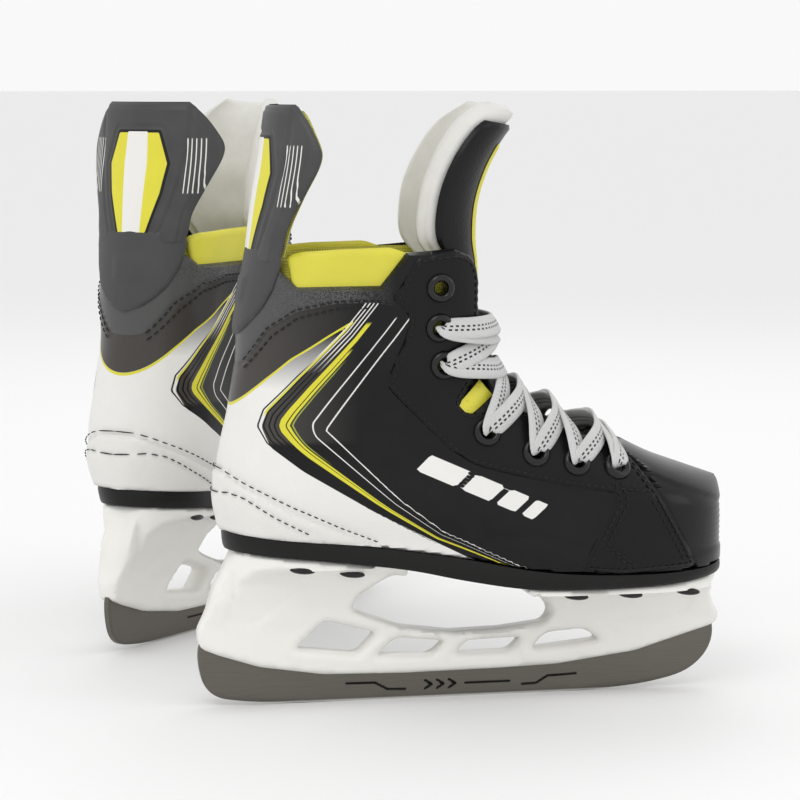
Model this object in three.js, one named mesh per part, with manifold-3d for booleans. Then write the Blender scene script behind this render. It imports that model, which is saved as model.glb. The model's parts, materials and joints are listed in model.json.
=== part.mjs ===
// A pair of child's ice hockey skates: the right skate faces +X, and the left one stands behind it, turned out.
// Millimetres, +Z up. The origin is the middle of the right runner's flat on the ice; in each skate +X is towards the toe.
import * as THREE from "three";
import { mergeVertices } from "three/addons/utils/BufferGeometryUtils.js";
import Module from "manifold-3d";

const wasm = await Module();
wasm.setup();

// ---- driving dimensions -------------------------------------------------------------------------
const GAP = 0.3; // between pieces that touch
const TURN_OUT = THREE.MathUtils.degToRad(47.5); // the left skate's heading, from the right one's
const LEFT_AT = [-59, 196]; // where the left runner's middle stands
const RUNNER_THICK = 3;
const UPPER_THICK = 3.2;
const LINER_DEPTH = 4.6; // from the boot's outer surface in to the liner
const LINER_THICK = 3;
const TONGUE_DEPTH = 4.5; // from the boot's outer surface in to the tongue's face
const TONGUE_THICK = 6;
const TOE_X = 109.5; // front of the toe cap
const FRONT_ROUND = 40; // length over which the toe closes in plan
const BACK_ROUND = 30; // length over which the heel closes in plan
const GUARD_SPLIT_Z = 187; // crease where the tendon guard bends back
const EYELET_RADIUS = 5.2;
const EYELET_HOLE = 2.6;
const LACE_WIDTH = 8;
const LACE_THICK = 1.6;

const BLACK = { color: 0x101010, roughness: 0.35, metalness: 0 };
const WHITE = { color: 0xd8d6d0, roughness: 0.45, metalness: 0 };
const GREY = { color: 0x4a4a4a, roughness: 0.55, metalness: 0 };
const YELLOW = { color: 0xd2cc3c, roughness: 0.6, metalness: 0 };
const STEEL = { color: 0x8a867e, roughness: 0.35, metalness: 1 };
const LACE_WHITE = { color: 0xd0d0d0, roughness: 0.9, metalness: 0 };

// ---- lines of the boot, each [x, z] --------------------------------------------------------------
const BACK_LINE = [
  [-95, 44], [-97.3, 72], [-99.6, 84], [-99.8, 96], [-97.7, 110], [-94.5, 124],
  [-92, 140], [-91, 156], [-88.5, 170], [-84.5, 192],
];
const INSTEP_LINE = [
  [11, 192], [11.3, 165], [12, 146], [17, 133], [30, 124], [48, 116],
  [64, 107.5], [80, 99.5], [95, 94], [112, 88],
];
const HALF_WIDTH = [[-99, 27], [-70, 28.5], [-40, 28], [-10, 30], [20, 35], [50, 38.5], [75, 38], [112, 35]];
const HEEL_SWELL = [[44, 0.8], [66, 0.86], [80, 1], [97, 1.06], [115, 1.02], [135, 0.98], [155, 1.02], [192, 1.15]];
const TOE_SWELL = [[44, 0.86], [58, 0.96], [72, 1], [192, 1]];
const EDGE_ROUND = [[10, 34], [30, 32], [60, 26], [85, 17], [112, 15]]; // roll-over of the instep, by x
const SOLE_TOP = [[-101, 72.8], [-45, 67.3], [0, 60.5], [25, 56.2], [60, 54], [95, 54.6], [114, 56.6]];
const SOLE_BOTTOM = [[-101, 65.4], [-65, 62.4], [-24, 56.7], [-3, 52.3], [23, 48.6], [50, 48.2], [80, 49], [114, 52.2]];

// ---- plain maths ---------------------------------------------------------------------------------
function table(points, at, from = 0, to = 1) {
  let k = 1;
  const rising = points[points.length - 1][from] > points[0][from];
  while (k < points.length - 1 && (rising ? at > points[k][from] : at < points[k][from])) k++;
  const [a, b] = [points[k - 1], points[k]];
  const t = Math.min(1, Math.max(0, (at - a[from]) / (b[from] - a[from])));
  return a[to] + (b[to] - a[to]) * t;
}

function smoothLine(points, steps = 5) {
  const curve = new THREE.CatmullRomCurve3(points.map(([x, z]) => new THREE.Vector3(x, 0, z)), false, "centripetal");
  return curve.getPoints(steps * (points.length - 1)).map((p) => [p.x, p.z]);
}

const smoothStep = (a, b, x) => THREE.MathUtils.smoothstep(x, a, b);
const quarterRound = (s, n = 2) => (s >= 1 ? 1 : s <= 0 ? 0 : (1 - (1 - s) ** n) ** (1 / n));

function distanceToLine(line, x, z) {
  let best = Infinity;
  for (let i = 1; i < line.length; i++) {
    const [ax, az] = line[i - 1];
    const [dx, dz] = [line[i][0] - ax, line[i][1] - az];
    const t = Math.min(1, Math.max(0, ((x - ax) * dx + (z - az) * dz) / (dx * dx + dz * dz)));
    best = Math.min(best, Math.hypot(x - ax - t * dx, z - az - t * dz));
  }
  return best;
}

const back = smoothLine(BACK_LINE);
const instep = smoothLine(INSTEP_LINE);
const backX = (z) => table(back, z, 1, 0);
const frontX = (z) => Math.min(TOE_X, table(instep, z, 1, 0));

// Half the boot's width at a point of its side view, for the surface that lies `inset` inside the outer one.
function halfWidth(x, z, inset = 0) {
  const swell = THREE.MathUtils.lerp(table(HEEL_SWELL, z), table(TOE_SWELL, z), smoothStep(-10, 40, x));
  const round = table(EDGE_ROUND, x);
  return (
    Math.max(0, table(HALF_WIDTH, x) * swell - inset) *
    quarterRound((x - backX(z) - inset) / (BACK_ROUND - inset)) *
    quarterRound((TOE_X - inset - x) / (FRONT_ROUND - inset), 2.5) *
    quarterRound((distanceToLine(instep, x, z) - inset) / (round - inset), 2.2)
  );
}

// ---- solids --------------------------------------------------------------------------------------
function solidOf(geometry) {
  const g = geometry.index ? geometry.toNonIndexed() : geometry.clone();
  g.deleteAttribute("normal");
  g.deleteAttribute("uv");
  const merged = mergeVertices(g, 1e-4);
  return new wasm.Manifold(
    new wasm.Mesh({
      numProp: 3,
      vertProperties: merged.attributes.position.array,
      triVerts: new Uint32Array(merged.index.array),
    }),
  );
}

function geometryOf(solid) {
  const mesh = solid.getMesh();
  const position = new Float32Array(mesh.numVert * 3);
  for (let i = 0; i < mesh.numVert; i++) {
    position.set(mesh.vertProperties.subarray(i * mesh.numProp, i * mesh.numProp + 3), i * 3);
  }
  const made = new THREE.BufferGeometry();
  made.setAttribute("position", new THREE.BufferAttribute(position, 3));
  made.setIndex(new THREE.BufferAttribute(mesh.triVerts, 1));
  return made;
}

function meshFrom(vertices, faces) {
  const g = new THREE.BufferGeometry();
  g.setAttribute("position", new THREE.BufferAttribute(new Float32Array(vertices.flat()), 3));
  g.setIndex(faces.flat());
  const solid = solidOf(g);
  if (solid.volume() > 0) return solid;
  g.setIndex(faces.map(([a, b, c]) => [a, c, b]).flat());
  return solidOf(g);
}

// The flat end of a round ring, as a fan about its middle.
function fanCap(ring, at, vertices) {
  const n = ring.length;
  const sum = ring.reduce((s, v) => s.map((c, k) => c + v[k] / n), [0, 0, 0]);
  vertices.push(sum);
  return ring.map((_, i) => [vertices.length - 1, at + i, at + ((i + 1) % n)]);
}

// The end of a C-shaped ring that runs out along one side and back along the other, as a strip.
function stripCap(ring, at) {
  const last = ring.length - 1;
  return Array.from({ length: ring.length / 2 - 1 }, (_, i) => [
    [at + i, at + i + 1, at + last - i - 1],
    [at + i, at + last - i - 1, at + last - i],
  ]).flat();
}

// A closed skin through rings that each run round once, with its two ends capped.
function loftRings(rings, cap = fanCap) {
  const n = rings[0].length;
  const vertices = rings.flat();
  const faces = [];
  for (let j = 0; j + 1 < rings.length; j++) {
    for (let i = 0; i < n; i++) {
      const [a, b] = [j * n + i, j * n + ((i + 1) % n)];
      faces.push([a, b, b + n], [a, b + n, a + n]);
    }
  }
  const first = cap(rings[0], 0, vertices).map(([a, b, c]) => [a, c, b]);
  const last = cap(rings.at(-1), (rings.length - 1) * n, vertices);
  return meshFrom(vertices, [...faces, ...first, ...last]);
}

// A sheet between two grids of points of the same size.
function sheetBetween(outer, inner) {
  const rings = outer.map((row, j) => [...row, ...[...inner[j]].reverse()]);
  return loftRings(rings, stripCap);
}

// The prism over a side-view outline, through the whole width or between two values of y.
function sidePrism(outline, low = -60, high = 60) {
  const shape = new THREE.Shape(outline.map(([x, z]) => new THREE.Vector2(x, z)));
  const g = new THREE.ExtrudeGeometry(shape, { depth: high - low, bevelEnabled: false });
  return solidOf(g.rotateX(Math.PI / 2).translate(0, high, 0));
}

// The prism over a front-view outline of half widths [y, z], between two values of x.
function frontPrism(halfOutline, low, high) {
  const both = [...halfOutline, ...[...halfOutline].reverse().map(([y, z]) => [-y, z])];
  const shape = new THREE.Shape(both.map(([y, z]) => new THREE.Vector2(y, z)));
  const g = new THREE.ExtrudeGeometry(shape, { depth: high - low, bevelEnabled: false });
  return solidOf(g.rotateX(Math.PI / 2).rotateZ(Math.PI / 2).translate(low, 0, 0));
}

// An outline with its corners cut round.
function rounded(points, radius, steps = 3) {
  const n = points.length;
  const all = points.flatMap((p, i) => {
    const corner = new THREE.Vector2(...p);
    const towards = (q) => {
      const d = new THREE.Vector2(...q).sub(corner);
      return corner.clone().add(d.setLength(Math.min(radius, d.length() / 2)));
    };
    const curve = new THREE.QuadraticBezierCurve(towards(points[(i + n - 1) % n]), corner, towards(points[(i + 1) % n]));
    return curve.getPoints(steps).map((v) => [v.x, v.y]);
  });
  return all.filter(([x, z], i) => Math.hypot(x - all.at(i - 1)[0], z - all.at(i - 1)[1]) > 0.05);
}

// ---- the boot's whole volume ---------------------------------------------------------------------
const LEVELS = [44, 56, 70, 84, 91, 96, 102, 108, 115, 122, 131, 143, 158, 175, 192];
const SOLE_LEVELS = [40, 56, 72, 84];
const LINER_LEVELS = [84, 98, 112, 126, 146, 168, 192];
const AROUND = 16;

function bootVolume(inset, levels = LEVELS, around = AROUND) {
  return loftRings(
    levels.map((z) => {
      const [from, to] = [backX(z) + inset, Math.min(TOE_X, frontX(z)) - inset];
      const side = [];
      for (let i = 0; i <= around; i++) {
        const x = from + ((to - from) * (1 - Math.cos((Math.PI * i) / around))) / 2;
        side.push([x, i % around ? Math.max(0.05, halfWidth(x, z, inset)) : 0, z]);
      }
      return [...side, ...side.slice(1, -1).reverse().map(([x, y]) => [x, -y, z])];
    }),
  );
}

const outerVolume = bootVolume(0);
const innerVolume = bootVolume(UPPER_THICK);
const upperShell = outerVolume.subtract(innerVolume);

function bootShell(from, to, levels = LEVELS, around = AROUND) {
  return bootVolume(from, levels, around).subtract(bootVolume(to, levels, around));
}
const aboveSole = (lift) => SOLE_TOP.map(([x, z]) => [x, z + lift]);
const soleZ = (x) => table(SOLE_TOP, x);

// ---- eyelets and lace ----------------------------------------------------------------------------
const EYELETS = [[-14.5, 171], [-14.5, 155], [-12.4, 140], [4.6, 113], [24, 104.5], [40.6, 100.4], [57.5, 97.6]];

function surfaceAt(x, z, side, lift = 0) {
  const e = 0.5;
  const y = halfWidth(x, z);
  const dx = (halfWidth(x + e, z) - halfWidth(x - e, z)) / (2 * e);
  const dz = (halfWidth(x, z + e) - halfWidth(x, z - e)) / (2 * e);
  const normal = new THREE.Vector3(-dx, 1, -dz).normalize();
  const point = new THREE.Vector3(x, y, z).addScaledVector(normal, lift);
  return { point: point.setY(point.y * side), normal: normal.setY(normal.y * side) };
}

function placed(geometry, x, z, side, lift) {
  const { point, normal } = surfaceAt(x, z, side, lift);
  const turn = new THREE.Quaternion().setFromUnitVectors(new THREE.Vector3(0, 1, 0), normal);
  return geometry.applyMatrix4(new THREE.Matrix4().compose(point, turn, new THREE.Vector3(1, 1, 1)));
}

const eyeletHole = (x, z, side) =>
  solidOf(placed(new THREE.CylinderGeometry(EYELET_HOLE + 1, EYELET_HOLE + 1, 16, 8), x, z, side, 0));

// A flanged ring: its barrel passes through the upper and its flange lies on it.
function eyelet(x, z, side) {
  const [hole, flange] = [EYELET_HOLE, EYELET_RADIUS];
  const barrel = hole + 1 - GAP;
  const profile = [
    [hole, -UPPER_THICK], [barrel, -UPPER_THICK], [barrel, 0.9], [flange, 0.9], [flange - 1, 2.2], [hole, 2], [hole, -UPPER_THICK],
  ];
  return solidOf(placed(new THREE.LatheGeometry(profile.map((p) => new THREE.Vector2(...p)), 8), x, z, side, 0));
}

// A flat lace between an eyelet on one side and the next one up on the other, over the tongue.
function laceStrip([ax, az], [bx, bz], side) {
  const nearest = instep.reduce((best, p) => {
    const far = (q) => Math.hypot(q[0] - (ax + bx) / 2, q[1] - (az + bz) / 2);
    return far(p) < far(best) ? p : best;
  });
  const middle = [nearest[0] + 1.6, nearest[1] + 1.6];
  const lift = 5.2; // clear of the eyelets' flanges
  const path = [];
  for (const t of [0, 0.35, 0.7, 0.9]) {
    path.push(surfaceAt(ax + (nearest[0] - ax) * t, az + (nearest[1] - az) * t, side, lift).point);
  }
  path.push(new THREE.Vector3(middle[0] + 1.4, 0, middle[1] + 1.4));
  for (const t of [0.1, 0.3, 0.65, 1]) {
    path.push(surfaceAt(nearest[0] + (bx - nearest[0]) * t, nearest[1] + (bz - nearest[1]) * t, -side, lift).point);
  }
  const curve = new THREE.CatmullRomCurve3(path, false, "centripetal");
  const count = 6;
  const rings = [];
  for (let i = 0; i <= count; i++) {
    const p = curve.getPoint(i / count);
    const tangent = curve.getTangent(i / count);
    const radial = p.clone().sub(new THREE.Vector3(p.x - 20, 0, p.z - 12)).normalize();
    const across = new THREE.Vector3().crossVectors(tangent, radial).normalize();
    const out = new THREE.Vector3().crossVectors(across, tangent).normalize();
    const width = i === 0 || i === count ? LACE_WIDTH / 2 : LACE_WIDTH;
    rings.push([[-1, -1], [1, -1], [1, 1], [-1, 1]].map(([u, v]) =>
      p.clone().addScaledVector(across, (u * width) / 2).addScaledVector(out, (v * LACE_THICK) / 2).toArray()));
  }
  return loftRings(rings);
}

function lace() {
  let whole = null;
  for (let level = 1; level < EYELETS.length - 1; level++) {
    for (const side of [-1, 1]) {
      const strip = laceStrip(EYELETS[level + 1], EYELETS[level], side);
      whole = whole ? whole.add(strip) : strip;
    }
  }
  return whole;
}

// ---- side-view outlines of the panels ------------------------------------------------------------
const QUARTER_EDGE = [
  [-110, 178], [-79, 178], [-72, 171.5], [-38, 171.5], [-28, 184.5], [-8, 186], [0, 183], [2.8, 176],
  [3, 137], [-6, 123.5], [-1, 120.5], [8.5, 128], [19, 121.3], [40, 112.8], [60, 105], [67, 98], [75, 84],
];
const quarterOutline = () => [...QUARTER_EDGE, [91.5, 55.6], ...aboveSole(GAP).filter(([x]) => x < 90).reverse(), [-110, 73.1]];
const toeOutline = () => [
  [58.5, 106.6], [75, 106], [118, 95], ...aboveSole(GAP).filter(([x]) => x > 94).reverse(),
  [92, 54.9], [75.4, 84.3], [67.4, 98.3], [60.6, 105.3],
];
const COUNTER = [[-110, 103], [-98, 102], [-88, 95], [-70, 83.5], [-42, 69], [-50, 70], [-110, 75.6]];
const GUARD_BASE = [[-110, 186.4], [-76.5, 186.4], [-77, 180], [-80, 171], [-84, 163], [-97, 146], [-110, 146]];
const LINER = [
  [-110, 186], [-72, 184.6], [-30, 185.5], [-9.5, 185.5], [-9.5, 132], [-2, 112], [-20, 90], [-60, 84], [-110, 88],
];
const TONGUE = [[-6.5, 177.4], [16, 177.4], [40, 150], [59, 109], [46, 98], [20, 105], [2, 118], [-6.5, 132]];

// ---- pieces of one skate -------------------------------------------------------------------------
const TOP_EDGE_OF_RUNNER = [
  [-107.5, 26], [-83, 20], [-57, 16.5], [-24, 15.5], [17, 15.8], [42, 16.6], [75, 21], [100, 28], [107, 30],
];

function runnerOutline(grow) {
  const heel = [[-105, 30], [-107.6, 24], [-107.2, 15], [-104.7, 8], [-100, 4], [-90, 1.9], [-65, 0.4], [-30, 0]];
  const toe = [[30, 0], [60, 0.6], [84, 3], [98, 7], [105.5, 13], [109, 20], [109, 27], [107, 31]];
  const top = TOP_EDGE_OF_RUNNER.slice(1, -1).reverse().map(([x, z]) => [x, z + grow]);
  return [...heel, ...toe, ...top];
}

const runner = () => sidePrism(runnerOutline(0), -RUNNER_THICK / 2, RUNNER_THICK / 2);

const HOLDER_OUTLINE = [
  [-107.2, 24.6], [-108.2, 31], [-104, 39], [-100.6, 49.4], [-96.5, 57.5], [-93, 64.6], [-65, 62.1], [-24, 56.4],
  [-23.5, 52.6], [-30, 53.6], [-43.9, 44.5], [-45.6, 39], [-40.6, 36.3], [-24, 30.4], [-3.3, 27.6], [17.4, 28],
  [36, 30.2], [39.6, 34], [38, 38], [27.7, 45], [23.2, 45.6], [23.2, 48.3], [50, 47.9], [80, 48.7], [106.4, 51.2],
  [106.4, 48.6], [103, 47], [104.6, 42], [107, 37], [111, 31.2], [110.4, 27.6], [107, 26],
  [100, 24], [75, 16.6], [42, 12.4], [17, 11.6], [-24, 11.2], [-57, 12], [-83, 16], [-100, 21.5],
];
const HOLDER_WINDOWS = [
  [[-56.3, 34.6], [-34.4, 28.4], [-42.6, 19.8], [-68.7, 23]],
  [[-26.5, 26.2], [-5.4, 23.9], [-11.6, 18.2], [-35.2, 19]],
  [[2.9, 23.8], [26.9, 24.4], [21.9, 18.6], [-2.1, 18.2]],
  [[36.4, 25.8], [52.6, 27], [60, 21.9], [29.8, 19]],
];

function holder() {
  const whole = sidePrism(HOLDER_OUTLINE, -35, 35);
  const body = HOLDER_WINDOWS.reduce((solid, w) => solid.subtract(sidePrism(rounded(w, 2.6, 2))), whole);
  const waist = [[5, 8], [5.2, 24], [5.6, 30]];
  const heelTaper = frontPrism([...waist, [8, 40], [12, 50], [16, 55.5], [26, 58.5], [26, 70]], -115, -12);
  const toeTaper = frontPrism([...waist, [9, 36], [14, 42], [18, 44], [34, 46], [34, 60]], -12, 115);
  const slot = sidePrism(runnerOutline(GAP), -RUNNER_THICK / 2 - GAP, RUNNER_THICK / 2 + GAP);
  return body.intersect(heelTaper.add(toeTaper)).intersect(bootPlanColumn(2.5)).subtract(slot);
}

// The boot's plan at the sole, as an upright column, to keep the holder's flanges inside the outsole.
function bootPlanColumn(inset) {
  const ring = [];
  for (let i = 0; i <= AROUND; i++) {
    const x = -97 + inset + ((TOE_X + 97 - 2 * inset) * (1 - Math.cos((Math.PI * i) / AROUND))) / 2;
    ring.push([x, i % AROUND ? halfWidth(x, soleZ(x), inset) : 0]);
  }
  const outline = [...ring, ...ring.slice(1, -1).reverse().map(([x, y]) => [x, -y])];
  const column = loftRings([46, 70].map((z) => outline.map(([x, y]) => [x, y, z])));
  return column.add(solidOf(new THREE.BoxGeometry(240, 24, 50).translate(0, 0, 23)));
}

const soleBand = (low, high, inset) =>
  bootVolume(inset, SOLE_LEVELS).intersect(sidePrism([...low, ...[...high].reverse()]));
const outsole = () => soleBand(SOLE_BOTTOM, SOLE_TOP, -0.6);
const insoleBoard = () => soleBand(aboveSole(GAP), aboveSole(2.8), UPPER_THICK + GAP);
const footbed = () => soleBand(aboveSole(3.1), aboveSole(7), UPPER_THICK + GAP + 0.4);

function quarter(side) {
  const half = solidOf(new THREE.BoxGeometry(300, 60, 300).translate(0, side * (30 + GAP / 2), 100));
  const panel = upperShell.intersect(sidePrism(quarterOutline())).intersect(half);
  return EYELETS.reduce((solid, [x, z]) => solid.subtract(eyeletHole(x, z, side)), panel);
}

const toeCap = () => upperShell.intersect(sidePrism(toeOutline()));
const heelCounter = () => bootShell(-1.8, -GAP).intersect(sidePrism(COUNTER));
const guardBase = () => bootShell(-2.4, -GAP).intersect(sidePrism(GUARD_BASE));
const liner = () =>
  bootShell(LINER_DEPTH, LINER_DEPTH + LINER_THICK, LINER_LEVELS, 12).intersect(sidePrism(LINER));
const tongueLower = () => bootShell(TONGUE_DEPTH, TONGUE_DEPTH + TONGUE_THICK).intersect(sidePrism(TONGUE));

// The guard's outline from behind [half width, z], and the line of its back [x, z].
const GUARD_WIDTH = [[GUARD_SPLIT_Z, 24], [194, 25], [206, 29.5], [221, 34.5], [228, 33], [237, 26.5], [243, 21]];
const GUARD_BACK = [[-87, GUARD_SPLIT_Z], [-84.5, 206], [-82, 221], [-80.5, 232], [-79, 243]];

function guardSheet(depth, thick, shrink, top) {
  const rows = [GUARD_SPLIT_Z + 0.5, 196, 208, 221, 229, 237, 243].map((z) => Math.min(z, top));
  const grid = (inset) => rows.map((z, j) => {
    const half = table(GUARD_WIDTH, z) - shrink;
    return Array.from({ length: 9 }, (_, i) => {
      const y = half * (-1 + i / 4);
      return [table(GUARD_BACK, z, 1, 0) + inset + 17 * (y / 35) ** 2, y, z + j * 0.001];
    });
  });
  return sheetBetween(grid(depth), grid(depth + thick));
}

// The tongue above its crease: a felt pad bent round the shin, [front x, z, wing depth, half width].
const TONGUE_TOP = [
  [6.6, 178.6, 17, 21], [5.5, 190, 26, 24], [6.5, 204, 26, 25.5], [11, 218, 25, 26], [18, 230, 22, 24], [27, 239.5, 13, 17],
];

function tongueSheet(depth, thick, sweep, rows) {
  const steps = 10;
  const grid = (inset) => rows.map(([front, z, wing, half], j) => {
    const lean = j < 2 ? 0 : [0, 0, 0.1, 0.35, 0.6, 0.8][j];
    return Array.from({ length: steps + 1 }, (_, i) => {
      const a = sweep * (-1 + (2 * i) / steps);
      const [w, h] = [wing - inset * 0.6, half - inset];
      return [front - inset - w * (1 - Math.cos(a)), h * Math.sin(a), z + lean * (w * (1 - Math.cos(a)) * 0.25 + inset * 0.7)];
    });
  });
  return sheetBetween(grid(depth), grid(depth + thick));
}

const tongueFelt = () => tongueSheet(2.3, 7, 1.5, TONGUE_TOP);
const tongueFace = () => tongueSheet(0, 2, 0.95, TONGUE_TOP.slice(0, 5));

// ---- the two skates ------------------------------------------------------------------------------
function mirrored(geometry) {
  const g = geometry.clone().scale(1, -1, 1);
  const index = g.index.array;
  for (let i = 0; i < index.length; i += 3) {
    [index[i + 1], index[i + 2]] = [index[i + 2], index[i + 1]];
  }
  return g;
}

// Every piece of a right skate: [name, solid, finish]. Its outer side faces -Y.
function skatePieces() {
  const pieces = [
    ["runner", runner(), STEEL],
    ["blade_holder", holder(), WHITE],
    ["outsole", outsole(), BLACK],
    ["insole_board", insoleBoard(), GREY],
    ["footbed", footbed(), YELLOW],
    ["quarter_outer", quarter(-1), BLACK],
    ["quarter_inner", quarter(1), BLACK],
    ["toe_cap", toeCap(), BLACK],
    ["heel_counter", heelCounter(), WHITE],
    ["guard_base", guardBase(), GREY],
    ["tendon_guard", guardSheet(0, 4, 0, 243), GREY],
    ["guard_lining", guardSheet(4.9, 2.6, 3, 240), YELLOW],
    ["liner", liner(), YELLOW],
    ["tongue_base", tongueLower(), BLACK],
    ["tongue_felt", tongueFelt(), WHITE],
    ["tongue_face", tongueFace(), BLACK],
    ["lace", lace(), LACE_WHITE],
  ];
  for (const [side, label] of [[-1, "outer"], [1, "inner"]]) {
    EYELETS.slice(0, label === "outer" ? 7 : 6).forEach(([x, z], i) => {
      pieces.push([`eyelet_${label}_${i + 1}`, eyelet(x, z, side), BLACK]);
    });
  }
  return pieces.map(([name, solid, finish]) => [name, geometryOf(solid), finish]);
}

const pieces = skatePieces();
const pair = new THREE.Group();
const leftSkate = new THREE.Group();
leftSkate.position.set(LEFT_AT[0], LEFT_AT[1], 0);
leftSkate.rotation.z = TURN_OUT;
pair.add(leftSkate);
for (const [name, geometry, finish] of pieces) {
  const right = new THREE.Mesh(geometry, new THREE.MeshStandardMaterial(finish));
  right.name = `right_${name}`;
  pair.add(right);
  const left = new THREE.Mesh(mirrored(geometry), new THREE.MeshStandardMaterial(finish));
  left.name = `left_${name}`;
  leftSkate.add(left);
}

export default pair;
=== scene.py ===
"""A pair of child's ice hockey skates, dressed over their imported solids.

Every size is in metres in the frame; a skate's own drawing is in millimetres, in its bench frame: +X to the
toe, +Z up, the outer side facing -Y, and the middle of the runner's flat at the origin.
"""
import json
import logging
import math
from dataclasses import dataclass, field
from enum import Enum
from typing import Callable, Iterable, Sequence

import bmesh
import bpy
import numpy as np
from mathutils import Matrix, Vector
from mathutils.geometry import delaunay_2d_cdt


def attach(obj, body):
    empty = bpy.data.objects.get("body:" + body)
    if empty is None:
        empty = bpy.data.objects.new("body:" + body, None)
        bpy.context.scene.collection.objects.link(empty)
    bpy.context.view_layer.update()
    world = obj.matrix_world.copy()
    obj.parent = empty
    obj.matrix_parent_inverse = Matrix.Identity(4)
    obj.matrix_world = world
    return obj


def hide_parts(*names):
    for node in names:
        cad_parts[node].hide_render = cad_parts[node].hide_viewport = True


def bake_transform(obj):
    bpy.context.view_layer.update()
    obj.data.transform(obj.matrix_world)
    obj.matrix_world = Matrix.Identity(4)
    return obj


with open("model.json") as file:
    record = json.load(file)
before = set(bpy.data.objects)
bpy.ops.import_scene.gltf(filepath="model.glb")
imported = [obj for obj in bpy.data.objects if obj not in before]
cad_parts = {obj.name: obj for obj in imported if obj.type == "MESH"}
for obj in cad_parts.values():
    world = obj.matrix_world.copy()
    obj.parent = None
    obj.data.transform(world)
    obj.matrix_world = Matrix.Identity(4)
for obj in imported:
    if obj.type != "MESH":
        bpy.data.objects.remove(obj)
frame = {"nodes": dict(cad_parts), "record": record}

logging.basicConfig(level=logging.INFO, format="%(message)s")
LOG = logging.getLogger("skates")
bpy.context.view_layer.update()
MM = 0.001
COAT_ROUGHNESS = 0.12
TURN_MM = 66.0  # millimetres of skin to one radian of turn, about
Points = np.ndarray
Line = Sequence[tuple[float, float]]


# ---- plain maths --------------------------------------------------------------------------------
def smooth_line(points: Line, steps: int = 8) -> Points:
    """Run a centripetal curve through points.

    Args:
        points: The points that the curve passes through, of any dimension.
        steps: How many stretches each span is cut into.

    Returns:
        The curve's points, one a row.
    """
    p = np.asarray(points, float)
    p = np.vstack([2 * p[0] - p[1], p, 2 * p[-1] - p[-2]])
    out = []
    for a, b, c, d in zip(p, p[1:], p[2:], p[3:]):
        t0 = 0.0
        t1 = t0 + max(1e-6, np.linalg.norm(b - a) ** 0.5)
        t2 = t1 + max(1e-6, np.linalg.norm(c - b) ** 0.5)
        t3 = t2 + max(1e-6, np.linalg.norm(d - c) ** 0.5)
        for t in t1 + (t2 - t1) * np.arange(steps) / steps:
            ab = a + (b - a) * (t - t0) / (t1 - t0)
            bc = b + (c - b) * (t - t1) / (t2 - t1)
            cd = c + (d - c) * (t - t2) / (t3 - t2)
            low = ab + (bc - ab) * (t - t0) / (t2 - t0)
            high = bc + (cd - bc) * (t - t1) / (t3 - t1)
            out.append(low + (high - low) * (t - t1) / (t2 - t1))
    return np.vstack([out, p[-2]])


def even_line(points: Iterable, step: float, closed: bool = False) -> Points:
    """Cut a line into even steps.

    Args:
        points: The line's points.
        step: The longest step.
        closed: Whether the last point joins the first.

    Returns:
        The points, corners kept.
    """
    p = np.asarray(list(points), float)
    ends = np.vstack([p, p[:1]]) if closed else p
    out = []
    for a, b in zip(ends, ends[1:]):
        n = max(1, int(math.ceil(np.linalg.norm(b - a) / step)))
        out.extend(a + (b - a) * k / n for k in range(n))
    return np.array(out if closed else out + [ends[-1]])


def rounded_outline(points: Line, radius: float, steps: int = 4) -> Points:
    """Cut an outline's corners round.

    Args:
        points: The closed outline.
        radius: How far from a corner its rounding starts.
        steps: Points on each rounded corner.

    Returns:
        The closed outline with round corners.
    """
    p = np.asarray(points, float)
    out = []
    for before, corner, after in zip(np.roll(p, 1, 0), p, np.roll(p, -1, 0)):
        ends = []
        for other in (before, after):
            reach = np.linalg.norm(other - corner)
            ends.append(corner + (other - corner) * min(radius, 0.48 * reach) / reach)
        for t in np.linspace(0, 1, steps):
            out.append((1 - t) ** 2 * ends[0] + 2 * t * (1 - t) * corner + t * t * ends[1])
    return np.array(out)


def distance_to(points: Points, line: Points, closed: bool = False) -> Points:
    """Measure how far points lie from a line.

    Args:
        points: The points, one a row.
        line: The line's points.
        closed: Whether the line's last point joins its first.

    Returns:
        One distance a point.
    """
    ends = np.vstack([line, line[:1]]) if closed else line
    best = np.full(len(points), 1e9)
    for a, b in zip(ends, ends[1:]):
        d = b - a
        t = np.clip(((points - a) @ d) / max(1e-12, d @ d), 0, 1)
        best = np.minimum(best, np.linalg.norm(points - a - t[:, None] * d, axis=1))
    return best


def inside(points: Points, outline: Points) -> Points:
    """Tell which points lie inside a closed outline."""
    x, z = points[:, 0], points[:, 1]
    hits = np.zeros(len(points), bool)
    for (ax, az), (bx, bz) in zip(outline, np.roll(outline, -1, 0)):
        crosses = (az > z) != (bz > z)
        with np.errstate(divide="ignore", invalid="ignore"):
            hits ^= crosses & (x < (bx - ax) * (z - az) / (bz - az) + ax)
    return hits


def signed_distance(points: Points, outline: Points) -> Points:
    """Measure how far points lie inside a closed outline; outside it is negative."""
    d = distance_to(points, outline, True)
    return np.where(inside(points, outline), d, -d)


def quarter_round(s: Points, power: float = 2.0) -> Points:
    """Rise from 0 to 1 as the quarter of a rounded corner does."""
    return (1 - (1 - np.clip(s, 0, 1)) ** power) ** (1 / power)


def smooth_step(low: float, high: float, at: Points) -> Points:
    """Rise smoothly from 0 at low to 1 at high."""
    t = np.clip((np.asarray(at, float) - low) / (high - low), 0, 1)
    return t * t * (3 - 2 * t)


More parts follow.
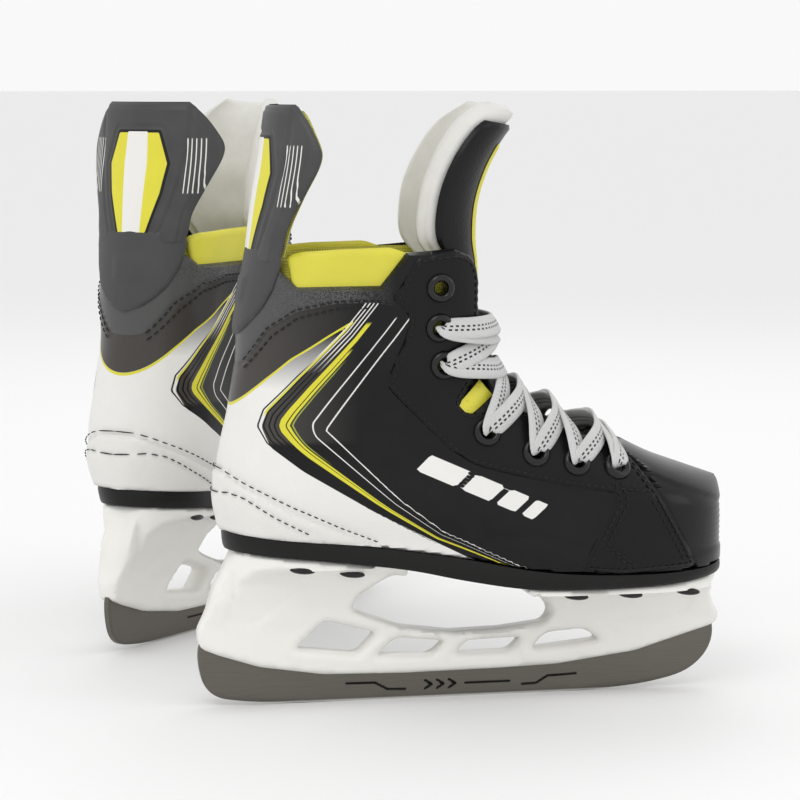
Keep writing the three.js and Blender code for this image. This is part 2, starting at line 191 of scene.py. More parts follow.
# ---- the boot's form ----------------------------------------------------------------------------
@dataclass(frozen=True)
class BootForm:
    """The outer form of one boot, in its bench frame, in millimetres."""

    toe_x: float = 109.5
    front_round: float = 40.0
    back_round: float = 30.0
    back: Points = field(default_factory=lambda: smooth_line([
        (-95, 44), (-97.3, 72), (-99.6, 84), (-99.8, 96), (-97.7, 110), (-94.5, 124),
        (-92, 140), (-91, 156), (-88.5, 170), (-84.5, 192)]))
    instep: Points = field(default_factory=lambda: smooth_line([
        (11, 192), (11.3, 165), (12, 146), (17, 133), (30, 124), (48, 116),
        (64, 107.5), (80, 99.5), (95, 94), (112, 88)]))
    half: Points = field(default_factory=lambda: smooth_line([
        (-99, 27), (-70, 28.5), (-40, 28), (-10, 30), (20, 35), (50, 38.5), (75, 38), (112, 35)]))
    heel_swell: Points = field(default_factory=lambda: smooth_line([
        (44, 0.8), (66, 0.86), (80, 1), (97, 1.06), (115, 1.02), (135, 0.98), (155, 1.02), (192, 1.15)]))
    toe_swell: Points = field(default_factory=lambda: smooth_line([(44, 0.86), (58, 0.96), (72, 1),
                                                                   (192, 1)]))
    edge: Points = field(default_factory=lambda: smooth_line([(10, 34), (30, 32), (60, 26), (85, 17),
                                                              (112, 15)]))
    sole_top: Points = field(default_factory=lambda: smooth_line([
        (-101, 72.8), (-45, 67.3), (0, 60.5), (25, 56.2), (60, 54), (95, 54.6), (114, 56.6)]))
    sole_low: Points = field(default_factory=lambda: smooth_line([
        (-101, 65.4), (-65, 62.4), (-24, 56.7), (-3, 52.3), (23, 48.6), (50, 48.2), (80, 49), (114, 52.2)]))

    def ends(self, z: Points) -> tuple[Points, Points]:
        """Give the x of the back and of the front of the boot at a height."""
        back = np.interp(z, self.back[:, 1], self.back[:, 0])
        front = np.interp(z, self.instep[::-1, 1], self.instep[::-1, 0])
        return back, np.minimum(self.toe_x, front)

    def half_width(self, x: Points, z: Points) -> Points:
        """Give half the boot's width at points of its side view."""
        x, z = np.asarray(x, float), np.asarray(z, float)
        heel = np.interp(z, self.heel_swell[:, 0], self.heel_swell[:, 1])
        toe = np.interp(z, self.toe_swell[:, 0], self.toe_swell[:, 1])
        swell = heel + (toe - heel) * smooth_step(-10, 40, x)
        back, _ = self.ends(z)
        roll = np.interp(x, self.edge[:, 0], self.edge[:, 1])
        near = distance_to(np.stack([x, z], 1), self.instep)
        width = np.interp(x, self.half[:, 0], self.half[:, 1]) * swell
        width = width * quarter_round((x - back) / self.back_round)
        width = width * quarter_round((self.toe_x - x) / self.front_round, 2.5)
        return width * quarter_round(near / roll, 2.2)

    def to_turn(self, side_view: Points) -> Points:
        """Turn side-view points (x, z) into (turn round the boot in mm, z)."""
        back, front = self.ends(side_view[:, 1])
        share = np.clip((side_view[:, 0] - back) / (front - back), 0, 1)
        return np.stack([np.arccos(1 - 2 * share) * TURN_MM, side_view[:, 1]], 1)

    def at(self, turned: Points, lift: float | Points = 0.0) -> Points:
        """Give the points of the surface, lifted along its normal.

        Args:
            turned: Rows of (turn in mm, z).
            lift: How far out of the surface, in millimetres.

        Returns:
            Rows of (x, y, z) on the +Y half, with y 0 on the seam.
        """
        def plain(t: Points, z: Points) -> Points:
            """Place points on the half form, with no lift."""
            back, front = self.ends(z)
            t = t / TURN_MM
            x = back + (front - back) * (1 - np.cos(t)) / 2
            y = self.half_width(x, z)
            y = np.where((t < 1e-6) | (t > math.pi - 1e-6), 0, y)
            return np.stack([x, y, z], 1)

        t, z = turned[:, 0], turned[:, 1]
        here = plain(t, z)
        if np.ndim(lift) == 0 and lift == 0:
            return here
        top = math.pi * TURN_MM
        step = 1.2
        low, high = np.clip(t - step, 0, top), np.clip(t + step, 0, top)
        along = plain(high, z) - plain(low, z)
        up = plain(t, z + step) - plain(t, z - step)
        normal = np.cross(up, along)
        seam = (t < 1e-6) | (t > top - 1e-6)
        outward = np.stack([np.where(t < top / 2, -1.0, 1.0), np.zeros(len(t)), np.zeros(len(t))], 1)
        ridge = np.cross(up, np.array([0.0, 1.0, 0.0]))
        ridge = ridge * np.sign(np.sum(ridge * outward, 1) + 1e-9)[:, None]
        normal = np.where(seam[:, None], ridge, normal)
        normal = normal / np.maximum(1e-9, np.linalg.norm(normal, axis=1))[:, None]
        flip = np.sign(normal[:, 1] + 1e-9)
        normal = np.where(seam[:, None], normal, normal * flip[:, None])
        made = here + normal * np.reshape(lift, (-1, 1)) * np.ones((len(t), 1))
        made[:, 1] = np.where(seam, 0, np.maximum(made[:, 1], 0.02))
        return made


FORM = BootForm()


# ---- where each skate stands --------------------------------------------------------------------
class Side(Enum):
    """The two skates of the pair."""

    RIGHT = "right"
    LEFT = "left"


@dataclass(frozen=True)
class Stand:
    """Where one skate stands in the frame."""

    side: Side

    def name(self, piece: str) -> str:
        """Name a piece or node of this skate."""
        return f"{self.side.value}_{piece}"

    def place(self, bench: Points) -> Points:
        """Carry bench points, in millimetres, into the frame, in metres."""
        p = np.asarray(bench, float).reshape(-1, 3) * MM
        if self.side is Side.RIGHT:
            return p
        rest = np.array(mount_of("left_runner_rest"))
        axis = joint_of("left_tongue_flex")
        cos, sin = axis[1], -axis[0]
        x, y = p[:, 0], -p[:, 1]
        return np.stack([x * cos - y * sin + rest[0], x * sin + y * cos + rest[1], p[:, 2]], 1)


def mount_of(name: str) -> Sequence[float]:
    """Give a mount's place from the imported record."""
    mounts = frame["record"]["mounts"]
    return next(m["pos_m"] for m in mounts if m["name"] == name)


def joint_of(name: str) -> Sequence[float]:
    """Give a joint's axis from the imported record."""
    joints = frame["record"]["behaviour"]["joints"]
    return next(j["axis"] for j in joints if j["name"] == name)


# ---- meshes -------------------------------------------------------------------------------------
@dataclass
class Skin:
    """A mesh in the bench frame, with the values that its finish reads at each point."""

    points: Points
    faces: list
    values: dict = field(default_factory=dict)

    def joined(self, other: "Skin") -> "Skin":
        """Put another skin beside this one in one mesh."""
        n = len(self.points)
        values = {k: np.concatenate([v, other.values[k]]) for k, v in self.values.items()}
        faces = self.faces + [tuple(i + n for i in f) for f in other.faces]
        return Skin(np.vstack([self.points, other.points]), faces, values)

    def mirrored(self) -> "Skin":
        """Turn the skin over to the other side."""
        faces = [tuple(reversed(f)) for f in self.faces]
        return Skin(self.points * (1, -1, 1), faces, dict(self.values))


@dataclass(frozen=True)
class Bench:
    """Makes a skate's pieces: one object each, placed and dressed, and riding on its body unless it is
    given a crease.
    """

    stand: Stand

    def make(
        self, name: str, skin: Skin, finish: "Finish", body: str = "boot",
        nodes: Sequence[str] = (), merge: float = 0.0, sharp: float | None = 50.0,
        crease: tuple[float, float] | None = None,
    ) -> bpy.types.Object:
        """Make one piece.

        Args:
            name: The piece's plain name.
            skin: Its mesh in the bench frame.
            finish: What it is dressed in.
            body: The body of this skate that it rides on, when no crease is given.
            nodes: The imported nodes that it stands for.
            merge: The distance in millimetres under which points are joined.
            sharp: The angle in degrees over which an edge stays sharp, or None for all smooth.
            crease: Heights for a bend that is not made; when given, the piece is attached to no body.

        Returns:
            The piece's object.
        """
        mesh = bpy.data.meshes.new(self.stand.name(name))
        points = self.stand.place(skin.points)
        mesh.from_pydata([tuple(p) for p in points], [], [tuple(f) for f in skin.faces])
        bench = mesh.attributes.new("bench", "FLOAT_VECTOR", "POINT")
        bench.data.foreach_set("vector", np.asarray(skin.points, float).ravel())
        for key, value in skin.values.items():
            made = mesh.attributes.new(key, "FLOAT", "POINT")
            made.data.foreach_set("value", np.asarray(value, float).ravel())
        bm = bmesh.new()
        bm.from_mesh(mesh)
        if merge:
            bmesh.ops.remove_doubles(bm, verts=bm.verts, dist=merge * MM)
        bmesh.ops.recalc_face_normals(bm, faces=bm.faces)
        if bm.calc_volume(signed=True) < 0:
            bmesh.ops.reverse_faces(bm, faces=bm.faces)
        for f in bm.faces:
            f.smooth = True
        bm.to_mesh(mesh)
        bm.free()
        if sharp is not None:
            mesh.set_sharp_from_angle(angle=math.radians(sharp))
        piece = bpy.data.objects.new(self.stand.name(name), mesh)
        bpy.context.scene.collection.objects.link(piece)
        mesh.materials.append(finish.material())
        if crease is None:
            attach(piece, self.stand.name(body))
        else:
            self.stand.name("boot")
            self.stand.name(body)
            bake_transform(piece)
        if nodes:
            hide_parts(*[self.stand.name(n) for n in nodes])
        LOG.info("%s: %d faces", piece.name, len(mesh.polygons))
        return piece


def grid_faces(rows: int, columns: int, wrap: bool = False) -> list:
    """Give the faces of a grid of points kept row by row."""
    last = columns if wrap else columns - 1
    return [
        (j * columns + i, j * columns + (i + 1) % columns,
         (j + 1) * columns + (i + 1) % columns, (j + 1) * columns + i)
        for j in range(rows - 1) for i in range(last)
    ]


def sheet_faces(rows: int, columns: int) -> list:
    """Give the faces of a sheet whose two sides are grids kept one after the other, closed at its rim."""
    count = rows * columns
    side = grid_faces(rows, columns)
    rim = [*range(columns), *[j * columns + columns - 1 for j in range(1, rows)],
           *[(rows - 1) * columns + i for i in range(columns - 2, -1, -1)],
           *[j * columns for j in range(rows - 2, 0, -1)]]
    walls = [(b, a, a + count, b + count) for a, b in zip(rim, rim[1:] + rim[:1])]
    return side + [tuple(i + count for i in face[::-1]) for face in side] + walls


def filled(loops: Sequence[Points], grain: float) -> tuple[Points, list, list]:
    """Fill a loop, round the loops inside it, with even triangles.

    Args:
        loops: The outer loop, and then each hole's.
        grain: The size of a triangle.

    Returns:
        The points, the faces, and the directed edges of the border.
    """
    low, high = loops[0].min(0), loops[0].max(0)
    xs, zs = np.meshgrid(np.arange(low[0], high[0], grain), np.arange(low[1], high[1], grain))
    xs = xs + (np.arange(len(zs)) % 2)[:, None] * grain / 2
    grid = np.stack([xs.ravel(), zs.ravel()], 1)
    keep = inside(grid, loops[0]) & (distance_to(grid, loops[0], True) > grain * 0.55)
    for hole in loops[1:]:
        keep &= ~inside(grid, hole) & (distance_to(grid, hole, True) > grain * 0.5)
    edges, first = [], 0
    for loop in loops:
        edges += [(first + i, first + (i + 1) % len(loop)) for i in range(len(loop))]
        first += len(loop)
    found = delaunay_2d_cdt([Vector(p) for p in np.vstack([*loops, grid[keep]])], edges, [], 0, 1e-5)
    made = np.array([tuple(v) for v in found[0]])
    centres = np.array([np.mean([made[i] for i in f], axis=0) for f in found[2]])
    wanted = inside(centres, loops[0])
    for hole in loops[1:]:
        wanted &= ~inside(centres, hole)
    faces = [tuple(f) for f, w in zip(found[2], wanted) if w]
    directed = {(a, b) for f in faces for a, b in zip(f, f[1:] + f[:1])}
    return made, faces, [(a, b) for a, b in directed if (b, a) not in directed]


@dataclass(frozen=True)
class Panel:
    """A sheet of the upper, cut to an outline of the side view and laid on the boot's form."""

    outline: Points
    lift: float = 0.0
    thick: float = 1.2
    roll: float = 1.0
    grain: float = 1.7
    both: bool = False
    holes: tuple = ()
    relief: Callable[[Points], Points] | None = None
    paint: dict = field(default_factory=dict)

    def skin(self, side: int) -> Skin:
        """Cut the sheet.

        Args:
            side: -1 for the outer side and 1 for the inner one; a sheet that is both crosses the seam.

        Returns:
            The closed sheet.
        """
        turned, faces, border = self._cut()
        view = self._side_view(turned)
        depth = distance_to(view, even_line(self.outline, 1.5, True), True)
        depth = np.where(self._on_seam(turned), 9.0, depth) if self.both else depth
        edge = quarter_round(depth / self.roll) if self.roll else np.ones(len(turned))
        raised = self.lift - self.thick * (1 - edge) * 0.75
        if self.relief is not None:
            raised = raised + self.relief(view) * edge
        outer = FORM.at(turned, raised)
        inner = FORM.at(turned, self.lift - self.thick)
        n = len(turned)
        rim = [(a, b, b + n, a + n) for a, b in border]
        closed = faces + [tuple(i + n for i in reversed(f)) for f in faces] + rim
        values = {"edge": np.tile(depth, 2)}
        for key, how in self.paint.items():
            values[key] = np.tile(how(view), 2)
        made = Skin(np.vstack([outer, inner]), closed, values)
        if self.both:
            return made.joined(made.mirrored())
        return made if side > 0 else made.mirrored()

    def _on_seam(self, turned: Points) -> Points:
        """Tell which points lie on the boot's seam, front or back."""
        return (turned[:, 0] < 1e-6) | (turned[:, 0] > math.pi * TURN_MM - 1e-6)

    def _side_view(self, turned: Points) -> Points:
        """Turn (turn, z) back into side-view points (x, z)."""
        back, front = FORM.ends(turned[:, 1])
        x = back + (front - back) * (1 - np.cos(turned[:, 0] / TURN_MM)) / 2
        return np.stack([x, turned[:, 1]], 1)

    def _cut(self) -> tuple[Points, list, list]:
        """Fill the outline with triangles.

        Returns:
            The points (turn, z), the faces, and the border's edges.
        """
        line = FORM.to_turn(even_line(self.outline, self.grain * 0.8, True))
        line = line[np.linalg.norm(line - np.roll(line, 1, 0), axis=1) > 0.12]
        loops = [line] + [FORM.to_turn(even_line(h, 0.9, True)) for h in self.holes]
        made, faces, border = filled(loops, self.grain)
        if self.both:
            seam = self._on_seam(made)
            border = [(a, b) for a, b in border if not (seam[a] and seam[b])]
        return made, faces, border


# ---- shader maths -------------------------------------------------------------------------------
Colour = tuple[float, float, float]
BLACK: Colour = (0.003, 0.003, 0.0035)
INK: Colour = (0.006, 0.006, 0.0065)
ASH: Colour = (0.085, 0.085, 0.085)
SMOKE: Colour = (0.06, 0.055, 0.05)
CHALK: Colour = (0.80, 0.79, 0.76)
LEMON: Colour = (0.68, 0.63, 0.045)
LIME: Colour = (0.33, 0.38, 0.06)


@dataclass(frozen=True)
class Wire:
    """A socket of a finish's node tree; reckoning with it adds nodes."""

    tree: bpy.types.NodeTree
    socket: bpy.types.NodeSocket

    def math(self, operation: str, *others: "Wire | float") -> "Wire":
        """Add a Math node with this socket first."""
        node = self.tree.nodes.new("ShaderNodeMath")
        node.operation = operation
        for slot, value in zip(node.inputs, (self, *others)):
            if isinstance(value, Wire):
                self.tree.links.new(value.socket, slot)
            else:
                slot.default_value = value
        return Wire(self.tree, node.outputs[0])

    def __add__(self, other: "Wire | float") -> "Wire":
        """Add."""
        return self.math("ADD", other)

    __radd__ = __add__

    def __sub__(self, other: "Wire | float") -> "Wire":
        """Subtract."""
        return self.math("SUBTRACT", other)

    def __rsub__(self, other: float) -> "Wire":
        """Subtract from a number."""
        return (self * -1.0) + other

    def __mul__(self, other: "Wire | float") -> "Wire":
        """Multiply."""
        return self.math("MULTIPLY", other)

    __rmul__ = __mul__

    def above(self, edge: float, blur: float = 0.08) -> "Wire":
        """Give 1 where the value is over an edge and 0 under it, with a narrow blur."""
        scaled = (self - (edge - blur)) * (0.5 / blur)
        return scaled.math("MINIMUM", 1.0).math("MAXIMUM", 0.0)

    def below(self, edge: float, blur: float = 0.08) -> "Wire":
        """Give 1 where the value is under an edge."""
        return 1.0 - self.above(edge, blur)

    def band(self, low: float, high: float, blur: float = 0.08) -> "Wire":
        """Give 1 between two values."""
        return self.above(low, blur) * self.below(high, blur)

    def fade(self, low: float, high: float) -> "Wire":
        """Rise evenly from 0 at low to 1 at high, or the other way round."""
        return ((self - low) * (1.0 / (high - low))).math("MINIMUM", 1.0).math("MAXIMUM", 0.0)


@dataclass(frozen=True)
class Recipe:
    """A finish's node tree while it is being written."""

    tree: bpy.types.NodeTree

    def node(self, kind: str, settings: dict | None = None,
             **sockets: "Wire | float | tuple") -> bpy.types.Node:
        """Add a node.

        Args:
            kind: The node's type.
            settings: Its own settings, which are set first.
            sockets: Values or links by input name, with _ for a space.

        Returns:
            The node.
        """
        made = self.tree.nodes.new(kind)
        for key, value in (settings or {}).items():
            setattr(made, key, value)
        for key, value in sockets.items():
            slot = made.inputs[key.replace("_", " ")]
            if isinstance(value, Wire):
                self.tree.links.new(value.socket, slot)
            else:
                slot.default_value = value
        return made

    def value(self, name: str) -> Wire:
        """Read a value that the mesh holds at each point."""
        made = self.node("ShaderNodeAttribute", {"attribute_name": name})
        return Wire(self.tree, made.outputs["Fac"])

    def bench(self) -> Wire:
        """Read the bench place of each point, in millimetres."""
        made = self.node("ShaderNodeAttribute", {"attribute_name": "bench"})
        return Wire(self.tree, made.outputs["Vector"])

    def axes(self) -> tuple[Wire, Wire, Wire]:
        """Read the bench place as x, y and z."""
        split = self.node("ShaderNodeSeparateXYZ", Vector=self.bench())
        return tuple(Wire(self.tree, split.outputs[i]) for i in range(3))

    def noise(self, scale: float, detail: float = 2.0, rough: float = 0.5) -> Wire:
        """Give cloudy noise with so many cells to a millimetre."""
        made = self.node("ShaderNodeTexNoise", Vector=self.bench(), Scale=scale, Detail=detail,
                         Roughness=rough)
        return Wire(self.tree, made.outputs["Fac"])

    def cells(self, scale: float, feature: str = "F1") -> Wire:
        """Give the distance into round cells, so many to a millimetre."""
        made = self.node("ShaderNodeTexVoronoi", {"feature": feature}, Vector=self.bench(), Scale=scale)
        return Wire(self.tree, made.outputs["Distance"])

    def mix(self, share: "Wire | float", first: "Wire | Colour", second: "Wire | Colour") -> Wire:
        """Blend two colours."""
        made = self.tree.nodes.new("ShaderNodeMix")
        made.data_type = "RGBA"
        for slot, value in zip((made.inputs[0], made.inputs[6], made.inputs[7]), (share, first, second)):
            if isinstance(value, Wire):
                self.tree.links.new(value.socket, slot)
            else:
                slot.default_value = (*value, 1.0) if isinstance(value, tuple) else value
        return Wire(self.tree, made.outputs[2])

    def bump(self, height: Wire, depth_mm: float) -> Wire:
        """Raise the surface by a height of 0 to 1."""
        made = self.node("ShaderNodeBump", None, Height=height, Distance=depth_mm * MM, Strength=1.0)
        return Wire(self.tree, made.outputs["Normal"])


@dataclass(frozen=True)
class Finish:
    """What a piece is dressed in; each kind of finish says how it looks."""

    name: str
    slot: str
    rough: float = 0.4
    coat: float = 0.0
    sheen: float = 0.0
    metal: float = 0.0
    shine: float = 0.5

    def material(self) -> bpy.types.Material:
        """Give the finish's material, made once."""
        found = bpy.data.materials.get(self.name)
        if found:
            return found
        made = bpy.data.materials.new(self.name)
        made.use_nodes = True
        shader = made.node_tree.nodes["Principled BSDF"]
        constants = {"Coat Weight": self.coat, "Sheen Weight": self.sheen, "Metallic": self.metal,
                     "Coat Roughness": COAT_ROUGHNESS, "Roughness": self.rough,
                     "Specular IOR Level": self.shine}
        for key, value in constants.items():
            shader.inputs[key].default_value = value
        for key, wire in self.look(Recipe(made.node_tree)).items():
            made.node_tree.links.new(wire.socket, shader.inputs[key])
        return made

    def look(self, r: Recipe) -> dict[str, Wire]:
        """Say what changes over the surface."""
        raise NotImplementedError


def worn(r: Recipe, rough: float, spread: float = 0.12) -> Wire:
    """Give a roughness that drifts with handling."""
    return r.noise(0.045, 4.0) * spread + (rough - spread / 2)


@dataclass(frozen=True)
class Plain(Finish):
    """One colour with its grain: hide, moulded plastic, rubber or board."""

    colour: Colour = INK
    grain: float = 0.9
    depth: float = 0.10
    tint: float = 0.12

    def look(self, r: Recipe) -> dict[str, Wire]:
        """Pebble the surface and let the colour drift a little."""
        pebble = r.cells(self.grain) * 0.6 + r.noise(self.grain * 1.8, 3.0) * 0.4
        drift = r.noise(0.05, 4.0)
        paler = tuple(min(1.0, c * (1 + self.tint) + 0.002) for c in self.colour)
        darker = tuple(c * (1 - self.tint) for c in self.colour)
        colour = r.mix(drift, darker, paler)
        return {"Base Color": colour, "Roughness": worn(r, self.rough),
                "Normal": r.bump(pebble, self.depth)}


@dataclass(frozen=True)
class Printed(Finish):
    """The quarter's glossy hide with its printed zones and nested chevrons."""

    def look(self, r: Recipe) -> dict[str, Wire]:
        """Print the zones from the back forward."""
        x, _, z = r.axes()
        nest, chalk, collar, bars = (r.value(k) for k in ("nest", "chalk", "collar", "bars"))
        fine = r.noise(0.12, 3.0)
        colour = r.mix(fine, BLACK, (0.007, 0.007, 0.0075))
        colour = r.mix(chalk.below(0.0, 0.1) * x.fade(-46.0, -84.0) * z.above(110.0, 1.0), colour, SMOKE)
        inside_nest = nest.below(0.30, 0.004)
        high = z.fade(131.0, 153.0)
        white = r.mix(fine, (0.76, 0.75, 0.72), CHALK)
        faded = r.mix(high, white, INK)
        colour = r.mix(chalk.above(0.0, 0.1) * inside_nest, colour, faded)
        colour = r.mix(chalk.band(0.0, 0.75, 0.08) * z.above(121.0, 1.0) * x.below(-44.0, 2.0), colour,
                       LEMON)
        lines = None
        for at in (0.015, 0.085, 0.155, 0.225):
            line = nest.band(at, at + 0.022, 0.004)
            lines = line if lines is None else lines + line
        reach = x.below(-14.0, 6.0)
        colour = r.mix(lines * reach, colour, r.mix(high.above(0.5, 0.2), BLACK, CHALK))
        upper = z.below(157.0, 0.6)
        colour = r.mix(nest.band(0.30, 0.385, 0.004) * upper, colour, LEMON)
        colour = r.mix(nest.band(0.385, 0.40, 0.003) * upper, colour, BLACK)
        colour = r.mix(nest.band(0.40, 0.44, 0.004) * upper * z.below(146.0, 1.0), colour, LEMON)
        colour = r.mix(nest.band(0.465, 0.485, 0.004) * z.band(104.0, 140.0, 3.0), colour, LIME)
        for at in (0.73, 0.972):
            colour = r.mix(nest.band(at, at + 0.024, 0.004) * z.below(159.0, 0.5), colour, CHALK)
        speck = r.cells(1.5).below(0.42, 0.08) * x.fade(-86.0, -52.0)
        grey = r.mix(x.fade(-52.0, -32.0), ASH, INK)
        colour = r.mix(collar.above(0.0, 0.1), colour, r.mix(speck, grey, INK))
        colour = r.mix(bars.above(0.0, 0.08), colour, CHALK)
        crease = r.noise(0.35, 4.0, 0.6) * 0.5 + r.cells(0.8) * 0.2
        return {"Base Color": colour, "Roughness": worn(r, self.rough, 0.1), "Normal": r.bump(crease, 0.12)}


@dataclass(frozen=True)
class Steel(Finish):
    """Ground runner steel: lengthwise brushing, a bright hollow edge and a thin etched line."""

    def look(self, r: Recipe) -> dict[str, Wire]:
        """Brush the sides and darken them unevenly."""
        stretched = r.node("ShaderNodeVectorMath", {"operation": "MULTIPLY"})
        r.tree.links.new(r.bench().socket, stretched.inputs[0])
        stretched.inputs[1].default_value = (0.05, 1.0, 3.5)
        fine = r.node("ShaderNodeTexNoise", Scale=1.6, Detail=4.0, Roughness=0.6)
        r.tree.links.new(stretched.outputs[0], fine.inputs["Vector"])
        brush = Wire(r.tree, fine.outputs["Fac"])
        _, _, z = r.axes()
        colour = r.mix(brush, (0.11, 0.1, 0.088), (0.19, 0.175, 0.155))
        colour = r.mix(r.value("etch").below(0.55, 0.12), colour, (0.012, 0.012, 0.012))
        colour = r.mix(z.below(0.9, 0.3), colour, (0.6, 0.59, 0.57))
        rough = brush * 0.16 + 0.32
        return {"Base Color": colour, "Roughness": rough, "Normal": r.bump(brush, 0.025)}


@dataclass(frozen=True)
class Knit(Finish):
    """Cloth with a repeat: the collar's diamond mesh, or a lace's weave."""

    colour: Colour = LEMON
    pitch: float = 2.1
    depth: float = 0.28

    def look(self, r: Recipe) -> dict[str, Wire]:
        """Cross two sets of waves into diamonds and fuzz them."""
        _, y, z = r.axes()
        x, _, _ = r.axes()
        turn = 2 * math.pi / self.pitch
        one = ((x + y + z) * turn).math("SINE")
        two = ((x + y - z) * turn).math("SINE")
        net = (one * two) * 0.5 + 0.5
        fuzz = r.noise(3.2, 3.0, 0.7)
        deep = tuple(c * 0.42 for c in self.colour)
        pale = tuple(min(1.0, c * 1.12 + 0.01) for c in self.colour)
        colour = r.mix(net * 0.75 + fuzz * 0.25, deep, pale)
        return {"Base Color": colour, "Roughness": fuzz * 0.1 + (self.rough - 0.05),
                "Normal": r.bump(net * 0.8 + fuzz * 0.3, self.depth)}


@dataclass(frozen=True)
class Felt(Finish):
    """Thick pressed felt with loose fibres."""

    colour: Colour = (0.86, 0.85, 0.81)

    def look(self, r: Recipe) -> dict[str, Wire]:
        """Mat the fibres."""
        fibre = r.noise(2.4, 6.0, 0.75)
        cloud = r.noise(0.16, 3.0)
        dark = tuple(c * 0.72 for c in self.colour)
        colour = r.mix(fibre * 0.6 + cloud * 0.4, dark, self.colour)
        return {"Base Color": colour, "Roughness": fibre * 0.08 + 0.88,
                "Normal": r.bump(fibre * 0.7 + cloud * 0.8, 0.5)}


@dataclass(frozen=True)
class Woven(Finish):
    """Flat lace: a herringbone weave with two rows of dark tracer threads."""

    def look(self, r: Recipe) -> dict[str, Wire]:
        """Weave from the lace's own length and width."""
        along, across = r.value("along"), r.value("across")
        weave = ((along + across.math("ABSOLUTE") * 0.9) * 8.5).math("SINE") * 0.5 + 0.5
        colour = r.mix(weave, (0.5, 0.5, 0.5), (0.78, 0.78, 0.77))
        rows = across.band(-1.15, -0.35, 0.06) + across.band(0.45, 1.25, 0.06)
        dash = (along * 2.6 + across.above(0.0, 0.01) * 1.5).math("SINE").above(-0.1, 0.25)
        colour = r.mix(rows * dash * r.value("tracer"), colour, BLACK)
        return {"Base Color": colour, "Roughness": weave * 0.1 + 0.8, "Normal": r.bump(weave, 0.18)}


@dataclass(frozen=True)
class Guarded(Finish):
    """The tendon guard: moulded grey, a lemon inlay with a chalk stripe, and groups of thin chalk lines."""

    def look(self, r: Recipe) -> dict[str, Wire]:
        """Print the inlay and the lines on the outer face."""
        inlay, stripe, arc, outer = (r.value(k) for k in ("inlay", "stripe", "arc", "outer"))
        _, _, z = r.axes()
        lines = (arc * (2 * math.pi / 1.7)).math("SINE").above(0.72, 0.12)
        lines = lines * arc.band(21.6, 30.0) * z.band(203.0, 227.0, 0.3)
        drift = r.noise(0.08, 3.0)
        colour = r.mix(drift, (0.045, 0.045, 0.0455), (0.075, 0.075, 0.076))
        colour = r.mix(lines * outer, colour, CHALK)
        colour = r.mix(inlay.above(-1.3, 0.1) * outer, colour, INK)
        colour = r.mix(inlay.above(0.0, 0.08) * outer, colour, r.mix(drift, LEMON, (0.76, 0.7, 0.06)))
        colour = r.mix(stripe.above(0.0, 0.08) * outer, colour, CHALK)
        grain = r.noise(1.6, 4.0, 0.6)
        return {"Base Color": colour, "Roughness": worn(r, self.rough), "Normal": r.bump(grain, 0.07)}


# ---- finishes of these skates -------------------------------------------------------------------
HIDE = Printed("printed_hide", "upper_black", rough=0.3, coat=0.14, shine=0.16)
FACING_HIDE = Plain("facing_hide", "upper_black", rough=0.34, coat=0.1, shine=0.16,
                    colour=(0.004, 0.004, 0.0045), grain=0.7, depth=0.16)
TOE_SHELL = Plain("toe_shell", "toe_black", rough=0.3, coat=0.12, shine=0.2, colour=(0.005, 0.005, 0.005),
                  grain=0.5, depth=0.04)
HEEL_HIDE = Plain("heel_hide", "upper_white", rough=0.42, coat=0.2, colour=(0.76, 0.75, 0.715), grain=0.6,
                  depth=0.12, tint=0.05)
GREY_HIDE = Plain("grey_hide", "guard_grey", rough=0.5, shine=0.25, colour=(0.06, 0.06, 0.061), grain=1.3,
                  depth=0.05)
GUARD = Guarded("guard_moulding", "guard_grey", rough=0.46, coat=0.05, shine=0.25)
LINING = Knit("lemon_knit", "lining_yellow", rough=0.85, sheen=0.3, colour=(0.62, 0.58, 0.05))
TAPE = Plain("lemon_tape", "lining_yellow", rough=0.5, colour=(0.66, 0.61, 0.05), grain=1.4, depth=0.05)
NYLON = Plain("holder_moulding", "holder_nylon", rough=0.38, coat=0.15, colour=(0.83, 0.82, 0.78),
              grain=0.25, depth=0.05, tint=0.025)
SOLE = Plain("sole_plastic", "outsole_plastic", rough=0.42, shine=0.2, colour=(0.009, 0.009, 0.0085),
             grain=0.6, depth=0.05)
RUNNER = Steel("ground_steel", "runner_steel", rough=0.36, metal=1.0)
FELT = Felt("white_felt", "felt_white", rough=0.9, sheen=0.4)
TONGUE_HIDE = Plain("tongue_hide", "tongue_black", rough=0.38, coat=0.08, shine=0.18,
                    colour=(0.004, 0.004, 0.0045), grain=0.8, depth=0.15)
RING = Plain("ring_black", "eyelet_black", rough=0.25, coat=0.2, shine=0.3, colour=(0.004, 0.004, 0.004),
             grain=1.2, depth=0.02)
LACE = Woven("woven_lace", "lace_white", rough=0.85, sheen=0.25)
DARK_THREAD = Plain("dark_thread", "upper_black", rough=0.6, shine=0.2, colour=(0.016, 0.016, 0.016),
                    grain=3.0, depth=0.05)
BLACK_THREAD = Plain("black_thread", "upper_black", rough=0.7, colour=(0.012, 0.012, 0.012), grain=3.0,
                     depth=0.05)
FOAM = Knit("footbed_cloth", "footbed_foam", rough=0.9, sheen=0.2, colour=(0.5, 0.47, 0.1), pitch=1.6)
FIBRE = Plain("fibre_board", "board", rough=0.8, colour=(0.33, 0.31, 0.28), grain=1.0, depth=0.1)

